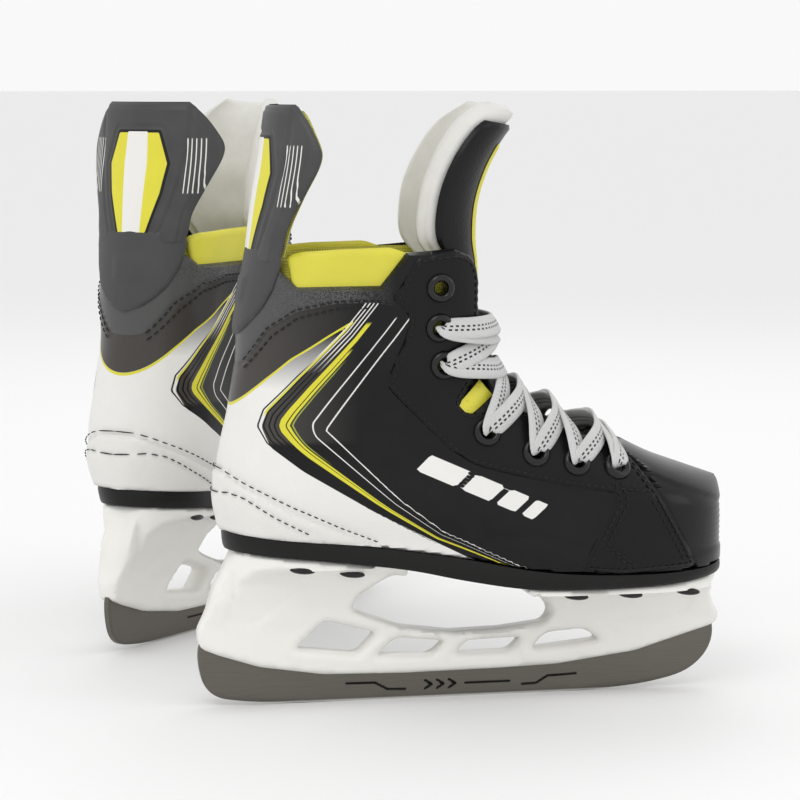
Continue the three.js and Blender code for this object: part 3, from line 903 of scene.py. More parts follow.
# ---- outlines of the side view, in millimetres -----------------------------------------------------
NEST_OUT = [(-40, 171), (-52.7, 155), (-72, 136.5), (-84.4, 123.5), (-87.1, 116.4), (-83.5, 109.5),
            (-70, 99.5), (-42, 82.5), (-15.7, 68.5), (8.2, 59.6), (20, 54)]
NEST_IN = [(-18, 170), (-32.3, 150.4), (-59.9, 115.1), (-30.5, 86.5), (-12, 72.5), (9.6, 62.2), (22, 56.5)]
CHALK_ZONE = [(-47.5, 159.2), (-60, 152), (-73.7, 143.4), (-83, 135.2), (-90.7, 127.6), (-100, 119),
              (-112, 100), (-112, 50), (0, 50), (4.5, 58.6), (-14, 68), (-41, 82), (-69.5, 99),
              (-82, 108.5), (-85, 116.4), (-82.5, 122.5), (-71, 135), (-52, 154)]
COLLAR_ZONE = [(-112, 138), (-90.7, 140.6), (-82.2, 154.6), (-71.7, 162), (-55.6, 165.2), (-39.5, 165.2),
               (-30, 163), (-22, 172), (-22, 195), (-112, 195)]
FACING_UPPER = [(-24.5, 183.2), (-8.3, 185.6), (-0.6, 182.6), (2.3, 175.6), (2.6, 137.4), (-6.5, 123.6),
                (-1.2, 119.8), (8.5, 127.2), (19, 120.8), (40, 112.2), (60, 104.4), (66.6, 97.8),
                (75, 85.5), (66, 86.2), (40, 90.3), (12, 96.5), (-1.5, 100.4), (-11, 106.5), (-30, 125.8),
                (-35.4, 131.6), (-34.6, 135.6), (-28.4, 150), (-26.4, 159.5), (-30.5, 163.4), (-34, 166.6),
                (-30, 172)]
NOTCH = [(3.2, 133.6), (-8.6, 122.4), (-2.2, 119.6), (8.6, 127.4)]
TOE_PANEL = [(59, 106.3), (67, 99.4), (76, 85.2), (85, 70), (93, 56.2), (60, 54.7), (42, 56.2), (47, 66),
             (56, 84), (52, 94), (46, 111)]
HEEL_PANEL = [(-106, 97), (-99, 97.5), (-92, 92), (-74, 82.5), (-55, 74.5), (-36, 66.8), (-60, 69.2),
              (-104, 73.3)]
HEEL_WAVE = [(-103, 87.5), (-97, 89), (-91, 87.5), (-80, 80), (-66, 72.5), (-64, 70.2), (-104, 74.2)]
BARS_FROM, BARS_TO, BARS_TALL = (-24.5, 98.5), (25.5, 76.5), 8.0
BARS_AT = ((9.0, 8.6), (26.5, 6.2), (39.5, 4.2), (49.0, 2.6))  # each bar's middle and half its length


def slanted_bars(view: Points) -> Points:
    """Give how far points lie inside a row of plain slanted bars that run down towards the toe."""
    start, end = np.array(BARS_FROM), np.array(BARS_TO)
    run = (end - start) / np.linalg.norm(end - start)
    up = np.array([-run[1], run[0]])
    high = (view - start) @ up
    along = (view - start) @ run - 0.4 * high
    best = np.full(len(view), -50.0)
    for middle, reach in BARS_AT:
        best = np.maximum(best, np.minimum(reach - np.abs(along - middle),
                                           BARS_TALL / 2 - np.abs(high - BARS_TALL / 2)))
    return best


def nest_share(view: Points) -> Points:
    """Give each point's place between the outer and the inner chevron, 0 to 1 and beyond."""
    outer, inner = even_line(NEST_OUT, 2), even_line(NEST_IN, 2)
    a, b = distance_to(view, outer), distance_to(view, inner)
    zone = np.vstack([outer, inner[::-1]])
    within = inside(view, zone)
    wedge = np.vstack([inner, [(30, 40), (130, 40), (130, 200), (-18, 200)]])
    ahead = inside(view, wedge)
    share = a / np.maximum(a + b, 1e-6)
    past = 1 + b / 27.0
    return np.where(within, share, np.where(ahead, past, -a / 27.0))


def quarter_relief(view: Points) -> Points:
    """Raise and sink the quarter's moulded lines."""
    along_sole = np.interp(view[:, 0], FORM.sole_top[:, 0], FORM.sole_top[:, 1]) + 10
    wave = np.exp(-(((view[:, 1] - along_sole - 3 * np.sin(view[:, 0] / 17)) / 2.2) ** 2))
    seam = distance_to(view, even_line([(-91, 140), (-82, 155), (-71.5, 162.4), (-55, 165.8), (-39, 165.8)],
                                       2))
    dents = 0.35 * np.sin(view[:, 0] / 9.0 + view[:, 1] / 13.0) * np.sin(view[:, 1] / 8.0)
    return -0.35 * wave * smooth_step(0, 14, view[:, 0]) - 0.5 * np.exp(-((seam / 0.8) ** 2)) + dents


# ---- stitches -----------------------------------------------------------------------------------
@dataclass(frozen=True)
class Thread:
    """Rows of stitches along side-view lines on the boot's form."""

    long: float = 2.0
    gap: float = 0.9
    thick: float = 0.34
    lift: float = 0.9

    def skin(self, lines: Sequence[Line], sides: Sequence[int], closed: bool = False) -> Skin:
        """Sew along lines.

        Args:
            lines: The lines, each of side-view points.
            sides: -1 for the outer side, 1 for the inner one.
            closed: Whether each line closes on itself.

        Returns:
            One skin of all the stitches.
        """
        points: list = []
        faces: list = []
        for line in lines:
            path = even_line(line, 0.5, closed)
            reach = np.concatenate([[0], np.cumsum(np.linalg.norm(np.diff(path, axis=0), axis=1))])
            starts = np.arange(0.3, reach[-1] - self.long, self.long + self.gap)
            for start in starts:
                ends = [np.array([np.interp(s, reach, path[:, k]) for k in (0, 1)])
                        for s in (start, start + self.long)]
                turned = FORM.to_turn(np.array(ends))
                low, high = FORM.at(turned, self.lift), FORM.at(turned, self.lift + 1.0)
                for side in sides:
                    self._stitch(low * (1, side, 1), high * (1, side, 1), points, faces)
        return Skin(np.array(points), faces)

    def _stitch(self, low: Points, high: Points, points: list, faces: list) -> None:
        """Add one stitch: a plump capsule that dips at both ends."""
        out = high[0] - low[0]
        out = out / max(1e-9, np.linalg.norm(out))
        along = low[1] - low[0]
        across = np.cross(along, out)
        across = across / max(1e-9, np.linalg.norm(across))
        first = len(points)
        shape = [(0.0, 0.35, -0.25), (0.16, 0.85, 0.05), (0.5, 1.0, 0.16), (0.84, 0.85, 0.05),
                 (1.0, 0.35, -0.25)]
        sides = 6
        for t, wide, rise in shape:
            for k in range(sides):
                a = 2 * math.pi * k / sides
                points.append(low[0] + along * t + across * (math.cos(a) * self.thick * wide)
                              + out * (math.sin(a) * self.thick * wide + rise))
        for j in range(len(shape) - 1):
            for k in range(sides):
                n = (k + 1) % sides
                faces.append((first + j * sides + k, first + j * sides + n,
                              first + (j + 1) * sides + n, first + (j + 1) * sides + k))
        faces.append(tuple(first + k for k in reversed(range(sides))))
        faces.append(tuple(first + (len(shape) - 1) * sides + k for k in range(sides)))


# ---- solids under the boot -----------------------------------------------------------------------
@dataclass(frozen=True)
class Slab:
    """A plate that stands in the boot's middle plane, with its faces pillowed and its edges rolled."""

    outline: Points
    half: Callable[[Points], Points]
    roll: float
    windows: tuple = ()
    grain: float = 1.8
    paint: dict = field(default_factory=dict)

    def skin(self) -> Skin:
        """Fill the outline round its windows and close it on both sides."""
        loops = [even_line(self.outline, self.grain * 0.7, True)]
        loops += [even_line(w, self.grain * 0.6, True) for w in self.windows]
        made, faces, border = filled(loops, self.grain)
        depth = np.min([distance_to(made, loop, True) for loop in loops], axis=0)
        half = self.half(made)
        half = half - np.minimum(self.roll, half * 0.6) * (1 - quarter_round(depth / self.roll))
        near = np.stack([made[:, 0], -half, made[:, 1]], 1)
        far = near * (1, -1, 1)
        n = len(made)
        closed = faces + [tuple(i + n for i in reversed(f)) for f in faces]
        closed += [(b, a, a + n, b + n) for a, b in border]
        values = {key: np.tile(how(made), 2) for key, how in self.paint.items()}
        return Skin(np.vstack([near, far]), closed, values)


@dataclass(frozen=True)
class Band:
    """A closed band that follows the boot's plan between two heights, such as the sole."""

    low: Callable[[Points], Points]
    high: Callable[[Points], Points]
    lift: float
    roll: float = 1.2
    crown: float = 0.0
    around: int = 110

    def skin(self) -> Skin:
        """Loft the band's rings and close its top and its underside."""
        turn = np.linspace(0, math.pi, self.around + 1)
        levels = [(0.0, -self.roll), (0.0, -self.roll * 0.35), (0.16, 0.0), (0.5, 0.15), (0.84, 0.0),
                  (1.0, -self.roll * 0.35), (1.0, -self.roll)]
        rows = [self._ring(turn, share, extra) for share, extra in levels]
        n = self.around + 1
        width = 2 * self.around
        rings = [np.vstack([r, (r * (1, -1, 1))[-2:0:-1]]) for r in rows]
        faces = grid_faces(len(rings), width, True)
        points = np.vstack(rings)
        for ring, fixed, flip in ((rings[0], 0, True), (rings[-1], (len(rings) - 1) * width, False)):
            inner = ring[:n] * (1, 0, 1)
            if self.crown and not flip:
                inner = inner + (0, 0, self.crown)
            start = len(points)
            points = np.vstack([points, inner])
            for i in range(self.around):
                other = [fixed + (width - i) % width, fixed + (width - i - 1) % width]
                one = (fixed + i, fixed + i + 1, start + i + 1, start + i)
                two = (start + i, start + i + 1, other[1], other[0])
                faces += [one, two] if not flip else [one[::-1], two[::-1]]
        return Skin(points, faces)

    def _ring(self, turn: Points, share: float, extra: float) -> Points:
        """Give one ring's +Y half at a share of the way up."""
        z = np.full(len(turn), 58.0)
        for _ in range(4):
            back, front = FORM.ends(np.maximum(z, 46))
            x = back + (front - back) * (1 - np.cos(turn)) / 2
            z = self.low(x) + (self.high(x) - self.low(x)) * share
        made = FORM.at(np.stack([turn * TURN_MM, z], 1), self.lift + extra)
        made[:, 2] = z
        return made


def sole_top(x: Points) -> Points:
    """Give the height of the sole's top."""
    return np.interp(x, FORM.sole_top[:, 0], FORM.sole_top[:, 1])


def sole_low(x: Points) -> Points:
    """Give the height of the sole's underside."""
    return np.interp(x, FORM.sole_low[:, 0], FORM.sole_low[:, 1])


RUNNER_EDGE = smooth_line([
    (-105, 30), (-107.6, 24), (-107.2, 15), (-104.7, 8), (-100, 4), (-90, 1.9), (-65, 0.4), (-30, 0),
    (0, 0), (30, 0), (60, 0.6), (84, 3), (98, 7), (105.5, 13), (109, 20), (109, 27), (107, 30.5)], 6)
RUNNER_TOP = [(100, 28), (75, 21), (42, 16.6), (17, 15.8), (-24, 15.5), (-57, 16.5), (-83, 20)]
ETCH = [
    [(-47, 7.4), (-35, 7.2), (-29.5, 4.2), (-22, 4.0)], [(27, 4.0), (33, 4.1), (38, 7.0), (50.5, 7.6)],
    [(-14, 7.4), (-11, 5.6), (-14, 3.8)], [(-9, 7.4), (-6, 5.6), (-9, 3.8)],
    [(-4, 7.4), (-1, 5.6), (-4, 3.8)], [(3, 5.6), (22, 5.6)],
]
HOLDER_EDGE = [
    (-107.2, 24.6), (-108.2, 31), (-104, 39), (-100.6, 49.4), (-96.5, 57.5), (-93, 64.6), (-65, 62.1),
    (-24, 56.4), (-23.5, 52.6), (-30, 53.6), (-43.9, 44.5), (-45.6, 39), (-40.6, 36.3), (-24, 30.4),
    (-3.3, 27.6), (17.4, 28), (36, 30.2), (39.6, 34), (38, 38), (27.7, 45), (23.2, 45.6), (23.2, 48.3),
    (50, 47.9), (80, 48.7), (106.4, 51.2), (106.4, 48.6), (103, 47), (104.6, 42), (107, 37), (111, 31.2),
    (110.4, 27.6), (107, 26), (100, 24), (75, 16.6), (42, 12.4), (17, 11.6), (-24, 11.2), (-57, 12),
    (-83, 16), (-100, 21.5)]
HOLDER_WINDOWS = [
    [(-56.3, 34.6), (-34.4, 28.4), (-42.6, 19.8), (-68.7, 23)],
    [(-26.5, 26.2), (-5.4, 23.9), (-11.6, 18.2), (-35.2, 19)],
    [(2.9, 23.8), (26.9, 24.4), (21.9, 18.6), (-2.1, 18.2)],
    [(36.4, 25.8), (52.6, 27), (60, 21.9), (29.8, 19)]]
HEEL_RECESS = [(-94, 53), (-72, 55.5), (-63, 50), (-86, 32), (-98, 35)]
TOE_RECESS = [(62, 43), (96, 44), (99, 34), (80, 27), (66, 31)]


def holder_half(view: Points) -> Points:
    """Give half the holder's thickness over its side view."""
    x, z = view[:, 0], view[:, 1]
    waist = [(8, 5), (24, 5.2), (30, 5.6)]
    heel = np.array([*waist, (40, 8), (50, 12), (55.5, 16), (57.6, 24), (59, 26), (70, 26)], float)
    toe = np.array([*waist, (36, 9), (41.5, 14), (44, 19), (45.6, 33), (60, 34)], float)
    behind = np.interp(z - 0.07 * np.maximum(0, -60 - x), heel[:, 0], heel[:, 1])
    ahead = np.interp(z - 0.03 * np.maximum(0, x - 80), toe[:, 0], toe[:, 1])
    half = np.where(x < -12, behind, ahead)
    plan = FORM.half_width(np.clip(x, -94.5, 106.8), np.maximum(sole_top(x), 50)) - 2.5
    half = np.where(z > 34, np.minimum(half, np.maximum(plan, 4.0)), half)
    for recess in (HEEL_RECESS, TOE_RECESS):
        depth = signed_distance(view, rounded_outline(recess, 4))
        half = half - 0.7 * smooth_step(-0.4, 0.9, depth)
    for window in HOLDER_WINDOWS:
        depth = -signed_distance(view, np.asarray(window, float))
        half = half + 0.45 * np.exp(-(((depth - 3.2) / 1.1) ** 2))
    return half


@dataclass(frozen=True)
class Undercarriage:
    """The runner, the blade holder with its rivets, whose near-black is partly painted shade of their
    flange pockets, and the sole that they hang from.
    """

    bench: Bench
    runner_half: float = 1.5
    rivets: tuple = ((-68.5, 60.4), (-47.5, 57.6), (45, 45.6), (68, 45.6), (90, 47.4))

    def build(self) -> None:
        """Build and dress each piece."""
        runner = Slab(
            np.vstack([RUNNER_EDGE, RUNNER_TOP]), lambda v: np.full(len(v), self.runner_half), 0.35,
            grain=0.9, paint={"etch": lambda v: np.min([distance_to(v, even_line(e, 1)) for e in ETCH],
                                                       axis=0)})
        self.bench.make("runner_blade", runner.skin(), RUNNER, nodes=["runner"], sharp=35)
        holder = Slab(rounded_outline(HOLDER_EDGE, 2.0, 3), holder_half, 1.6,
                      tuple(rounded_outline(w, 3.2, 5) for w in HOLDER_WINDOWS), grain=1.5)
        self.bench.make("holder_body", holder.skin(), NYLON, nodes=["blade_holder"], sharp=60)
        sole = Band(sole_low, sole_top, 0.5)
        self.bench.make("sole_band", sole.skin(), SOLE, nodes=["outsole"], sharp=60)
        # Real rivet heads, dressed near-black partly as painted shade of the flange's rivet pockets.
        self.bench.make("holder_rivets", self._rivets(), RING, sharp=40)
        bed = Band(lambda x: sole_top(x) + 3.1, lambda x: sole_top(x) + 6.4, -4.4, roll=1.6, crown=0.4)
        self.bench.make("footbed_pad", bed.skin(), FOAM, nodes=["footbed"], sharp=None)

    def _rivets(self) -> Skin:
        """Make the flange's half-moon rivet heads on both sides, near-black partly as painted shade of the
        rivet pockets in the flange.
        """
        points: list = []
        faces: list = []
        for x, z in self.rivets:
            half = float(holder_half(np.array([[x, z - 1.3]]))[0])
            for side in (-1, 1):
                first = len(points)
                rows, columns = 5, 18
                for j in range(rows):
                    a = (j / (rows - 1)) * math.pi / 2
                    for k in range(columns):
                        t = 2 * math.pi * k / columns
                        reach = math.cos(a) * (5.0 if j else 5.2)
                        up = math.sin(t) * reach * 0.30
                        points.append((x + math.cos(t) * reach, side * (half - 1.0 + 1.5 * math.sin(a)),
                                       z - 2.3 + up - 0.1 * math.cos(t) * reach))
                faces += [tuple(first + i for i in f) for f in grid_faces(rows, columns, True)]
                faces.append(tuple(first + k for k in reversed(range(columns))))
                faces.append(tuple(first + (rows - 1) * columns + k for k in range(columns)))
        return Skin(np.array(points), faces)


# ---- the upper ----------------------------------------------------------------------------------
EYELETS = [(-14.5, 171), (-14.5, 155), (-12.4, 140), (4.6, 113), (24, 104.5), (40.6, 100.4), (57.5, 97.6)]
QUARTER_EDGE = [
    (-110, 178), (-79, 178), (-72, 171.5), (-38, 171.5), (-28, 184.5), (-8, 186), (0, 183), (2.8, 176),
    (3, 137), (-6, 123.5), (-1, 120.5), (8.5, 128), (19, 121.3), (40, 112.8), (60, 105), (67, 98), (75, 84),
    (91.5, 55.6)]
HEEL_LINES = [
    [(-103, 98.2), (-99, 98.8), (-91, 93.8), (-73, 84.6), (-54, 76), (-36, 68.6)],
    [(-101, 88.6), (-96, 89.6), (-91, 88.2), (-80, 81), (-66, 73.6)],
]
SIDE_LINES = [
    [(-90, 141.5), (-82.2, 155.2), (-71.7, 162.8), (-55.6, 166), (-39.5, 166), (-33, 164.4)],
    [(-90, 138.5), (-80.4, 152.2), (-71, 159.6), (-55.6, 163), (-40, 163.2)],
    [(63, 58), (50, 67.5), (58.5, 84), (55, 94)], [(65.4, 58), (52.6, 67.2), (61, 84), (57.2, 95)],
    [(88, 60), (81, 72.5), (72.5, 87)], [(85.6, 59.6), (79, 71.6), (70.4, 86)],
]


def edge_line(outline: Line, depth: float) -> Points:
    """Draw a line inside a closed outline at an even depth, for its stitches."""
    p = even_line(rounded_outline(outline, 3), 1.0, True)
    ahead = np.roll(p, -1, 0) - np.roll(p, 1, 0)
    normal = np.stack([-ahead[:, 1], ahead[:, 0]], 1)
    normal = normal / np.maximum(1e-9, np.linalg.norm(normal, axis=1))[:, None]
    area = np.sum(p[:, 0] * np.roll(p[:, 1], -1) - np.roll(p[:, 0], -1) * p[:, 1])
    moved = p + normal * depth * np.sign(area)
    away = distance_to(moved, p, True)
    return moved[away > depth * 0.93]


def eyelet_hole(x: float, z: float, radius: float = 3.2) -> Points:
    """Draw the round hole that an eyelet is set in, in the side view."""
    return np.array([(x + radius * math.cos(a), z + radius * math.sin(a)) for a in np.linspace(0,
                                                                                               2 * math.pi,
                                                                                               17)[:-1]])


@dataclass(frozen=True)
class Upper:
    """The boot's upper: quarters, overlays, toe cap, liner and stitches."""

    bench: Bench

    def build(self) -> None:
        """Build and dress each piece."""
        floor = [(x, float(sole_top(np.array(x)))) for x in np.linspace(91.5, -101, 30)]
        outline = np.array([*QUARTER_EDGE, *floor[1:], (-110, 73)])
        paint = {
            "nest": nest_share, "bars": slanted_bars,
            "chalk": lambda v: signed_distance(v, rounded_outline(CHALK_ZONE, 1.5)),
            "collar": lambda v: signed_distance(v, rounded_outline(COLLAR_ZONE, 2.5)),
        }
        holes = tuple(eyelet_hole(x, z) for x, z in EYELETS)
        quarter = Panel(outline, 0.0, 3.0, roll=1.4, grain=1.15, holes=holes, relief=quarter_relief,
                        paint=paint)
        facing = Panel(rounded_outline(FACING_UPPER, 2.5), 1.1, 1.6, roll=0.9, grain=1.6, holes=holes)
        notch = Panel(np.array(NOTCH), 0.55, 1.0, roll=0.6, grain=1.2)
        overlay = Panel(rounded_outline(TOE_PANEL, 3), 0.95, 1.4, roll=0.9, grain=1.6)
        for side, word in ((-1, "outer"), (1, "inner")):
            self.bench.make(f"quarter_{word}_hide", quarter.skin(side), HIDE, nodes=[f"quarter_{word}"])
            self.bench.make(f"facing_{word}", facing.skin(side), FACING_HIDE)
            self.bench.make(f"flex_notch_{word}", notch.skin(side), TAPE)
            self.bench.make(f"toe_overlay_{word}", overlay.skin(side), FACING_HIDE)
        self._caps()
        self._inside()
        self._sew()

    def _caps(self) -> None:
        """Build the pieces that wrap round the toe and the heel."""
        low = [(x, float(sole_top(np.array(x)))) for x in np.linspace(118, 92.5, 9)]
        toe = np.array([(58.5, 106.6), (75, 106), (118, 95), *low, (92, 54.9), (75.4, 84.3), (67.4, 98.3),
                        (60.6, 105.3)])

        def ribs(view: Points) -> Points:
            """Groove the toe's sides and leave its smooth top ridge proud."""
            top = np.interp(view[:, 0], FORM.instep[:, 0], FORM.instep[:, 1])
            side = smooth_step(7.5, 9.5, top - view[:, 1]) * smooth_step(1.5, 4,
                                                                         view[:,
                                                                              1] - sole_top(view[:, 0]) - 4)
            wave = 0.5 - 0.5 * np.cos(2 * math.pi * view[:, 1] / 2.3)
            return 0.5 - side * (0.35 + 0.6 * wave)

        cap = Panel(toe, 0.1, 2.6, roll=1.2, grain=1.15, both=True, relief=ribs)
        self.bench.make("toe_cap_shell", cap.skin(1), TOE_SHELL, nodes=["toe_cap"], merge=0.02)
        wave = rounded_outline(HEEL_WAVE, 3)
        heel = Panel(rounded_outline(HEEL_PANEL, 1.5), 1.1, 1.4, roll=0.9, grain=1.5, both=True,
                     relief=lambda v: 0.7 * smooth_step(-0.5, 0.9, signed_distance(v, wave)))
        self.bench.make("heel_counter_hide", heel.skin(1), HEEL_HIDE, nodes=["heel_counter"], merge=0.02)
        base = [(-112, 187), (-76.5, 187), (-76.8, 180), (-80, 170), (-84, 162), (-97, 143.5),
                (-112, 143.5)]
        step = np.array([(-112, 175), (-86.5, 175), (-88.5, 165), (-98, 155), (-112, 155)], float)
        grey = Panel(rounded_outline(base, 1.5), 2.0, 1.9, roll=1.0, grain=1.5, both=True,
                     relief=lambda v: 0.7 * smooth_step(-0.4, 0.8, signed_distance(v, step)) - 0.5)
        self.bench.make("guard_base_hide", grey.skin(1), GREY_HIDE, nodes=["guard_base"], merge=0.02)

    def _inside(self) -> None:
        """Build the liner with its rolled lemon collar."""
        liner = [(-112, 184), (-72, 183), (-30, 184), (-10, 184), (-10, 132), (-3, 112), (-20, 90),
                 (-60, 84), (-112, 88)]
        knit = Panel(rounded_outline(liner, 2), -4.7, 2.6, roll=2.2, grain=2.2, both=True)
        self.bench.make("liner_knit", knit.skin(1), LINING, nodes=["liner"], merge=0.02,
                                  sharp=None)
        band = Panel(rounded_outline([(-77, 183.6), (-72, 185.4), (-34, 186.4), (-27, 184), (-36, 168),
                                      (-74, 168)], 2),
                     -2.6, 2.0, roll=1.9, grain=1.5)
        for side, word in ((-1, "outer"), (1, "inner")):
            self.bench.make(f"collar_roll_{word}", band.skin(side), TAPE, sharp=None)

    def _sew(self) -> None:
        """Sew the upper's seams."""
        dark = Thread(lift=1.25).skin([edge_line(FACING_UPPER, 1.9)], (-1, 1))
        dark = dark.joined(Thread(lift=1.05).skin([edge_line(TOE_PANEL, 1.9)], (-1, 1)))
        dark = dark.joined(Thread(lift=0.35).skin(SIDE_LINES[:2], (-1, 1)))
        dark = dark.joined(Thread(lift=1.2).skin(SIDE_LINES[2:], (-1, 1)))
        self.bench.make("upper_stitches", dark, DARK_THREAD, sharp=None)
        heel = Thread(long=1.9, gap=1.1, thick=0.3, lift=1.25).skin([HEEL_LINES[0]], (-1, 1))
        heel = heel.joined(Thread(long=1.9, gap=1.1, thick=0.3, lift=1.9).skin([HEEL_LINES[1]], (-1, 1)))
        self.bench.make("heel_stitches", heel, BLACK_THREAD, sharp=None)


# ---- the tongue ---------------------------------------------------------------------------------
@dataclass(frozen=True)
class Tongue:
    """The tongue: its lower hide in the boot, and its felt pad and printed face above the crease."""

    bench: Bench
    rows: Points = field(default_factory=lambda: smooth_line([
        (6.6, 170, 16, 20, 0), (6.2, 179.5, 18, 21.5, 0), (5.5, 190, 25, 24, 0), (6.5, 204, 26, 25.5, 0.1),
        (11, 218, 25, 26, 0.35), (18, 230, 22, 24, 0.6), (25.5, 238.6, 15, 19, 0.8)], 7))
    crease: tuple[float, float] = (0.172, 0.188)

    def build(self) -> None:
        """Build and dress each piece."""
        low = [(-6.5, 177.4), (16, 177.4), (40, 150), (66, 109), (52, 96), (20, 105), (2, 118), (-6.5, 132)]
        hide = Panel(rounded_outline(low, 2), -4.6, 4.6, roll=2.0, grain=2.0, both=True,
                     relief=lambda v: -0.8 * (0.5 + 0.5 * np.cos(2 * math.pi * v[:, 1] / 13.0)) ** 6)
        lower = self.bench.make("tongue_hide", hide.skin(1), TONGUE_HIDE, nodes=["tongue_base"], merge=0.02,
                                sharp=None)
        felt = self.bench.make("tongue_pad", self._sheet(2.2, 7.2, 1.5, 26, 3.2, 0), FELT, "tongue",
                               ["tongue_felt"], sharp=None, crease=self.crease)
        self.bench.make("tongue_front", self._sheet(-0.4, 2.2, 1.34, 26, 0.9, 4), TONGUE_HIDE, "tongue",
                               ["tongue_face"], sharp=40, crease=self.crease)
        self.bench.make("tongue_patch", self._sheet(-1.1, 0.9, 0.5, 14, 0.5, 9), TAPE, "tongue", sharp=40,
                        crease=self.crease)

    def _sheet(self, depth: float, thick: float, sweep: float, across: int, roll: float,
               short: int) -> Skin:
        """Bend a sheet round the shin.

        Args:
            depth: How far its front lies behind the tongue's front line.
            thick: Its thickness.
            sweep: How far round it reaches, in radians.
            across: Columns on each half.
            roll: The radius of its edges.
            short: How many rows are left off its top.

        Returns:
            The closed sheet.
        """
        rows = self.rows[: len(self.rows) - short] if short else self.rows
        turn = np.linspace(-sweep, sweep, 2 * across + 1)
        n, m = len(rows), len(turn)
        grids = []
        side = (1 - np.abs(turn) / sweep) * sweep * 24
        height = np.linspace(0, 1, n) * (rows[-1, 1] - rows[0, 1])
        top = height[-1] - height
        edge = np.minimum(side[None, :], top[:, None])
        shrink = (1 - quarter_round(edge / roll)) * thick / 2
        for at, sign in ((0.0, 1), (thick, -1)):
            inset = depth + at + shrink * sign
            front, z, wing, half, lean = (rows[:, k][:, None] for k in range(5))
            wide, tall = wing - inset * 0.6, half - inset
            bend = 1 - np.cos(turn)[None, :]
            x = front - inset - wide * bend
            y = tall * np.sin(turn)[None, :]
            up = z + lean * (wide * bend * 0.25 + inset * 0.7)
            fold = 0.5 * np.sin(z / 3.1) * np.exp(-((turn[None, :] / 1.2) ** 2)) if thick > 4 else 0 * z
            grids.append(np.stack([x + fold, y, up], 2).reshape(-1, 3))
        return Skin(np.vstack(grids), sheet_faces(n, m))


# ---- the tendon guard ---------------------------------------------------------------------------
@dataclass(frozen=True)
class Guard:
    """The moulded guard behind the tendon, and the knit that lines it."""

    bench: Bench
    width: Points = field(default_factory=lambda: smooth_line([
        (182, 23), (187, 24), (194, 25), (206, 29.5), (219, 34), (224, 34.2), (230, 31.5), (237, 26.8),
        (243, 21)]))
    back: Points = field(default_factory=lambda: smooth_line([
        (180, -87.6), (187, -87), (206, -84.5), (221, -82), (232, -80.5), (243, -79)]))
    crease: tuple[float, float] = (0.1835, 0.194)

    def build(self) -> None:
        """Build and dress each piece."""
        self.bench.make("guard_shell", self._sheet(0.0, 4.0, 0.0, 243, 181.5, 1.5, True), GUARD, "guard",
                        ["tendon_guard"], sharp=60, crease=self.crease)
        lining = self.bench.make("guard_knit", self._sheet(4.4, 3.2, 2.5, 240.5, 183, 1.8, False), LINING,
                                 "guard", ["guard_lining"], sharp=None, crease=self.crease)

    def _point(self, share: Points, z: Points, inset: Points, shrink: float) -> Points:
        """Give points of the guard's sheet at a share of its half width."""
        half = np.interp(z, self.width[:, 0], self.width[:, 1]) - shrink
        y = half * share
        x = np.interp(z, self.back[:, 0], self.back[:, 1]) + inset + 17 * (y / 35) ** 2
        return np.stack([x, y, z], 1)

    def _sheet(self, depth: float, thick: float, shrink: float, top: float, low: float, roll: float,
               dressed: bool) -> Skin:
        """Make a sheet of the guard with rolled edges, and the values of its print."""
        shares = np.linspace(-1, 1, 91 if dressed else 33)
        levels = np.linspace(low, top, 81 if dressed else 34)
        s, z = (g.ravel() for g in np.meshgrid(shares, levels))
        half = np.interp(z, self.width[:, 0], self.width[:, 1])
        edge = np.minimum(half * (1 - np.abs(s)), top - z)
        soft = (1 - quarter_round(edge / roll)) * thick / 2
        y = half * s
        view = np.stack([np.abs(y), z], 1)
        inlay = signed_distance(view, np.array([(-9, 229.5), (10.5, 229.5), (15, 216), (12.8, 203),
                                                (7.2, 185.5), (-9, 185.5)], float))
        stripe = signed_distance(view, np.array([(-6, 231), (5.2, 231), (6, 216), (4.6, 184), (-6, 184)],
                                                float))
        groove = 0.0
        if dressed:
            bend = np.abs(y) - 21.5 - 0.16 * (z - 215) + 0.004 * (z - 215) ** 2
            groove = 0.55 * np.exp(-((bend / 0.9) ** 2)) + 0.5 * np.exp(-((inlay + 2.6) / 0.9) ** 2)
            groove = groove - 0.6 * smooth_step(2.2, 3.2, edge) + 0.6
        outer = self._point(s, z, depth + soft + groove, shrink)
        inner = self._point(s, z, depth + thick - soft, shrink)
        n, m = len(levels), len(shares)
        arc = np.abs(y) + 0.002 * (z - 216) ** 2
        values = {"inlay": inlay, "stripe": np.minimum(stripe, inlay + 0.5), "arc": arc}
        made = {k: np.tile(v, 2) for k, v in values.items()}
        made["outer"] = np.concatenate([np.ones(n * m), np.zeros(n * m)])
        return Skin(np.vstack([outer, inner]), sheet_faces(n, m), made)


